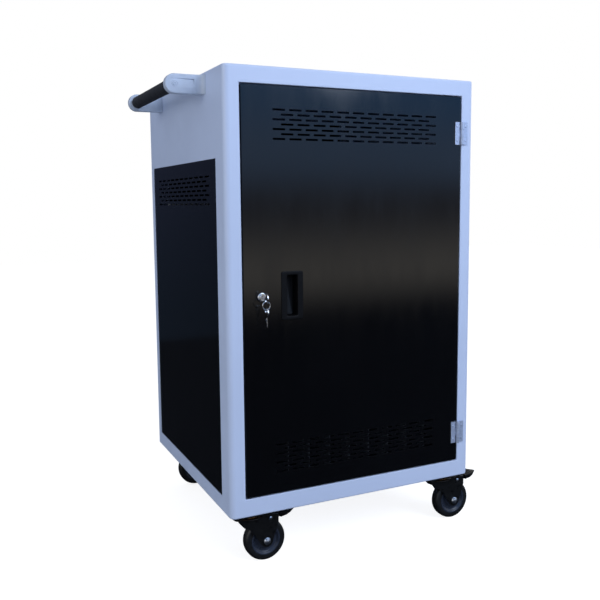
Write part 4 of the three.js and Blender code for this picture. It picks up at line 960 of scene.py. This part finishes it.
def pedal_pin(c):
    """A pedal's pin: a shank through both legs, with a domed head on each."""
    leg = c.width / 2 + WHEEL_GAP + c.fork_sheet
    end = np.array([(0.0024, 0), (0.0036, 0), (0.0036, 0.0006), (0.0024, 0.0014), (0, 0.0017)]) + [0, leg]
    return lathe(np.concatenate([end[::-1] * [1, -1], end]), "y", 20)


class CART_OT_casters(Operator):
    """Makes the four swivel casters and the two brake pedals"""

    bl_idname = "cart.casters"
    bl_label = "Casters"

    def execute(self, context):
        c = context.scene.cart.casters
        lift = np.radians(8)
        raised = np.array([(np.cos(lift), 0, -np.sin(lift)), (0, 1, 0), (np.sin(lift), 0, np.cos(lift))])
        for corner in CORNERS:
            fork, wheel, solid = f"{corner}_fork", f"{corner}_wheel", f"{corner}_caster"
            roll, swivel = JOINTS[f"{corner}_roll"], JOINTS[f"{corner}_swivel"] * [1, 1, 0]
            *_, (x, y, _) = span(f"{solid}_plate")
            *_, (_, end, _) = span(f"{solid}_axle")
            plate = moved(caster_plate(x, y), swivel)
            piece(f"{corner}_plate", plate, "fork", "cabinet", [f"{solid}_plate"])
            piece(f"{corner}_raceway", moved(caster_raceway(c), swivel), "zinc", "cabinet")
            piece(f"{corner}_yoke", moved(caster_fork(c, roll[2]), swivel), "fork", fork, [f"{solid}_fork"],
                  bevel=0.0007)
            piece(f"{corner}_tyre", moved(wheel_tyre(c), roll), "tyre", wheel, [f"{solid}_wheel"])
            piece(f"{corner}_hub", moved(wheel_hub(c), roll), "hub", wheel)
            piece(f"{corner}_axle", moved(caster_axle(c, end), roll), "steel", fork, [f"{solid}_axle"])
            if f"{corner}_brake" in JOINTS:
                pivot = JOINTS[f"{corner}_brake"]
                piece(f"{corner}_pedal", moved(brake_pedal(c), pivot, raised), "plastic", f"{corner}_pedal",
                      [f"{corner}_brake_pedal"])
                piece(f"{corner}_pedal_pin", moved(pedal_pin(c), pivot), "steel", fork)
        return {"FINISHED"}


def studio_sheet(name, corners, material):
    """A flat four-cornered sheet that belongs to the studio."""
    mesh = bpy.data.meshes.new(name)
    mesh.from_pydata(np.array(corners, float), [], [(0, 1, 2, 3)])
    mesh.materials.append(material)
    made = placed(name, mesh)
    return made


def blank(owner):
    """The owner's node tree, emptied."""
    nodes = Nodes(owner)
    nodes.tree.nodes.clear()
    return nodes


def floor_material():
    """A floor that keeps the shadow: lit like paper, lifted to white for the camera, dark in mirrors."""
    paper, lift, dark = (0.5, 0.5, 0.5, 1), 0.84, (0.012, 0.014, 0.02, 1)
    material = bpy.data.materials.new("studio_floor")
    n = blank(material)
    path = n.node("LightPath").outputs
    glow = n.node("Emission", Strength=n.math("MULTIPLY", path["Is Camera Ray"], lift))
    seen = n.node("AddShader", n.node("BsdfDiffuse", Color=paper), glow)
    mirrored_floor = n.node("Emission", Color=dark)
    n.node("OutputMaterial", n.node("MixShader", path["Is Glossy Ray"], seen, mirrored_floor))
    return material


def reflection_card(side, x0, x1, y, stops, fade=None):
    """A card that only reflections see, with tones up its height, so that black gloss sheet mirrors more
    than a white room. It may fade out between two places along X."""
    height = 4.0
    material = bpy.data.materials.new(f"card_{side}")
    n = blank(material)
    place = n.node("SeparateXYZ", n.node("TexCoord").outputs["Object"]).outputs
    ramp = n.node("ValToRGB", n.node("MapRange", Value=place["Z"], From_Max=height))
    ramp.color_ramp.interpolation = "EASE"
    while len(ramp.color_ramp.elements) < len(stops):
        ramp.color_ramp.elements.new(0.5)
    for element, (level, tone) in zip(ramp.color_ramp.elements, stops):
        element.position, element.color = level / height, (*tone, 1)
    shown = n.node("Emission", ramp)
    if fade:
        soft = n.node("MapRange", Value=place["X"], From_Min=fade[0], From_Max=fade[1])
        soft.interpolation_type = "SMOOTHSTEP"
        shown = n.node("MixShader", soft, shown, n.node("BsdfTransparent"))
    n.node("OutputMaterial", shown)
    corners = [(x0, y, 0), (x1, y, 0), (x1, y, height), (x0, y, height)]
    made = studio_sheet(f"{side}_card", corners, material)
    made.visible_camera = made.visible_diffuse = made.visible_shadow = made.visible_transmission = False


def set_light(s):
    """A world that is white to the camera and to mirrors, and a dimmer sky where it lights. A large lamp
    stands at the front right and a weaker one at the left."""
    world = bpy.context.scene.world or bpy.data.worlds.new("Studio")
    bpy.context.scene.world = world
    n = blank(world)
    path = n.node("LightPath").outputs
    seen = n.math("MAXIMUM", path["Is Camera Ray"], path["Is Glossy Ray"])
    seen = n.math("MAXIMUM", seen, path["Is Transmission Ray"])
    sky, white = n.node("Background", (*s.sky, 1), s.sky_level), n.node("Background", (1, 1, 1, 1), 1)
    n.node("OutputWorld", n.node("MixShader", seen, sky, white))
    for name, place, aim, size, level, tone in (
        ("Key", (1.2, -3.0, 2.6), (0, 0, 0.5), 2.4, s.key_level, s.sky),
        ("Fill", (-3.6, -1.0, 1.5), (0, 0, 0.6), 2.0, s.fill_level, (1.0, 0.97, 0.93)),
    ):
        lamp = bpy.data.lights.new(name, "AREA")
        lamp.shape, lamp.size, lamp.energy, lamp.color = "DISK", size, level, tone
        made = placed(name, lamp)
        made.location = place
        made.rotation_euler = (Vector(aim) - made.location).to_track_quat("-Z", "Y").to_euler()


def set_camera(s):
    """The photograph's viewpoint: forward from heading and tilt, then rolled about itself."""
    level = np.cos(s.pitch)
    forward = np.array([np.sin(s.yaw) * level, np.cos(s.yaw) * level, np.sin(s.pitch)])
    right = np.array([np.cos(s.yaw), -np.sin(s.yaw), 0])
    up = np.cross(right, forward)
    across = right * np.cos(s.roll) + up * np.sin(s.roll)
    above = up * np.cos(s.roll) - right * np.sin(s.roll)
    lens = bpy.data.cameras.new("Camera")
    lens.sensor_width = 36
    lens.lens = s.focal * lens.sensor_width
    lens.shift_x, lens.shift_y = s.shift
    eye = placed("Camera", lens)
    turn = Matrix(np.stack([across, above, -forward], 1).tolist()).to_4x4()
    eye.matrix_world = Matrix.Translation(Vector(np.array(s.eye) + ORIGIN)) @ turn
    bpy.context.scene.camera = eye


class CART_OT_stage(Operator):
    """Sets the studio: floor, light, reflection cards and camera"""

    bl_idname = "cart.stage"
    bl_label = "Studio"

    def execute(self, context):
        s = context.scene.cart.studio
        context.scene.view_settings.view_transform = "Standard"
        far = 9
        corners = [(-far, -far, 0), (far, -far, 0), (far, far, 0), (-far, far, 0)]
        studio_sheet("floor", corners, floor_material())
        # Painted reflection for the gloss-black doors: a glowing card, dark near the floor, then a warm
        # band, grey, and bright blue sky above.
        reflection_card("front", -3, 6, -3.5, [
            (0.0, (0.02, 0.02, 0.03)), (0.33, (0.87, 0.82, 0.74)), (0.8, (0.23, 0.24, 0.28)),
            (1.15, (0.44, 0.69, 1.15)), (1.8, (0.20, 0.60, 1.35)),
        ])
        # A dark card for the side panels to mirror: a painted dark reflection.
        dim = [(0.0, (0.02, 0.03, 0.05)), (2.0, (0.05, 0.06, 0.12))]
        reflection_card("side", -5, 2, 2.6, dim, (-0.6, 1.6))
        set_light(s)
        set_camera(s)
        return {"FINISHED"}


class CART_PT_build(Panel):
    """Lists the cart's operators and sizes"""

    bl_idname = "CART_PT_build"
    bl_label = "Laptop charging cart"
    bl_space_type = "VIEW_3D"
    bl_region_type = "UI"
    bl_category = "Cart"

    def draw(self, context):
        for step in STEPS:
            self.layout.operator(step.bl_idname)
        for group in CartSettings.__annotations__:
            box = self.layout.box()
            settings = getattr(context.scene.cart, group)
            for key in settings.__annotations__:
                box.prop(settings, key)


STEPS = (
    CART_OT_shell, CART_OT_panels, CART_OT_inside, CART_OT_handle, CART_OT_hinges, CART_OT_locks,
    CART_OT_pull, CART_OT_casters, CART_OT_stage,
)
CLASSES = (
    CabinetSizes, FittingSizes, CasterSizes, CartColours, StudioSettings, CartSettings, *STEPS,
    CART_PT_build,
)


def register():
    for cls in CLASSES:
        bpy.utils.register_class(cls)
    bpy.types.Scene.cart = PointerProperty(type=CartSettings)


def unregister():
    del bpy.types.Scene.cart
    for cls in reversed(CLASSES):
        bpy.utils.unregister_class(cls)


def main():
    register()
    bpy.ops.cart.shell()
    bpy.ops.cart.panels()
    bpy.ops.cart.inside()
    bpy.ops.cart.handle()
    bpy.ops.cart.hinges()
    bpy.ops.cart.locks()
    bpy.ops.cart.pull()
    bpy.ops.cart.casters()
    bpy.ops.cart.stage()


if __name__ == "__main__":
    main()
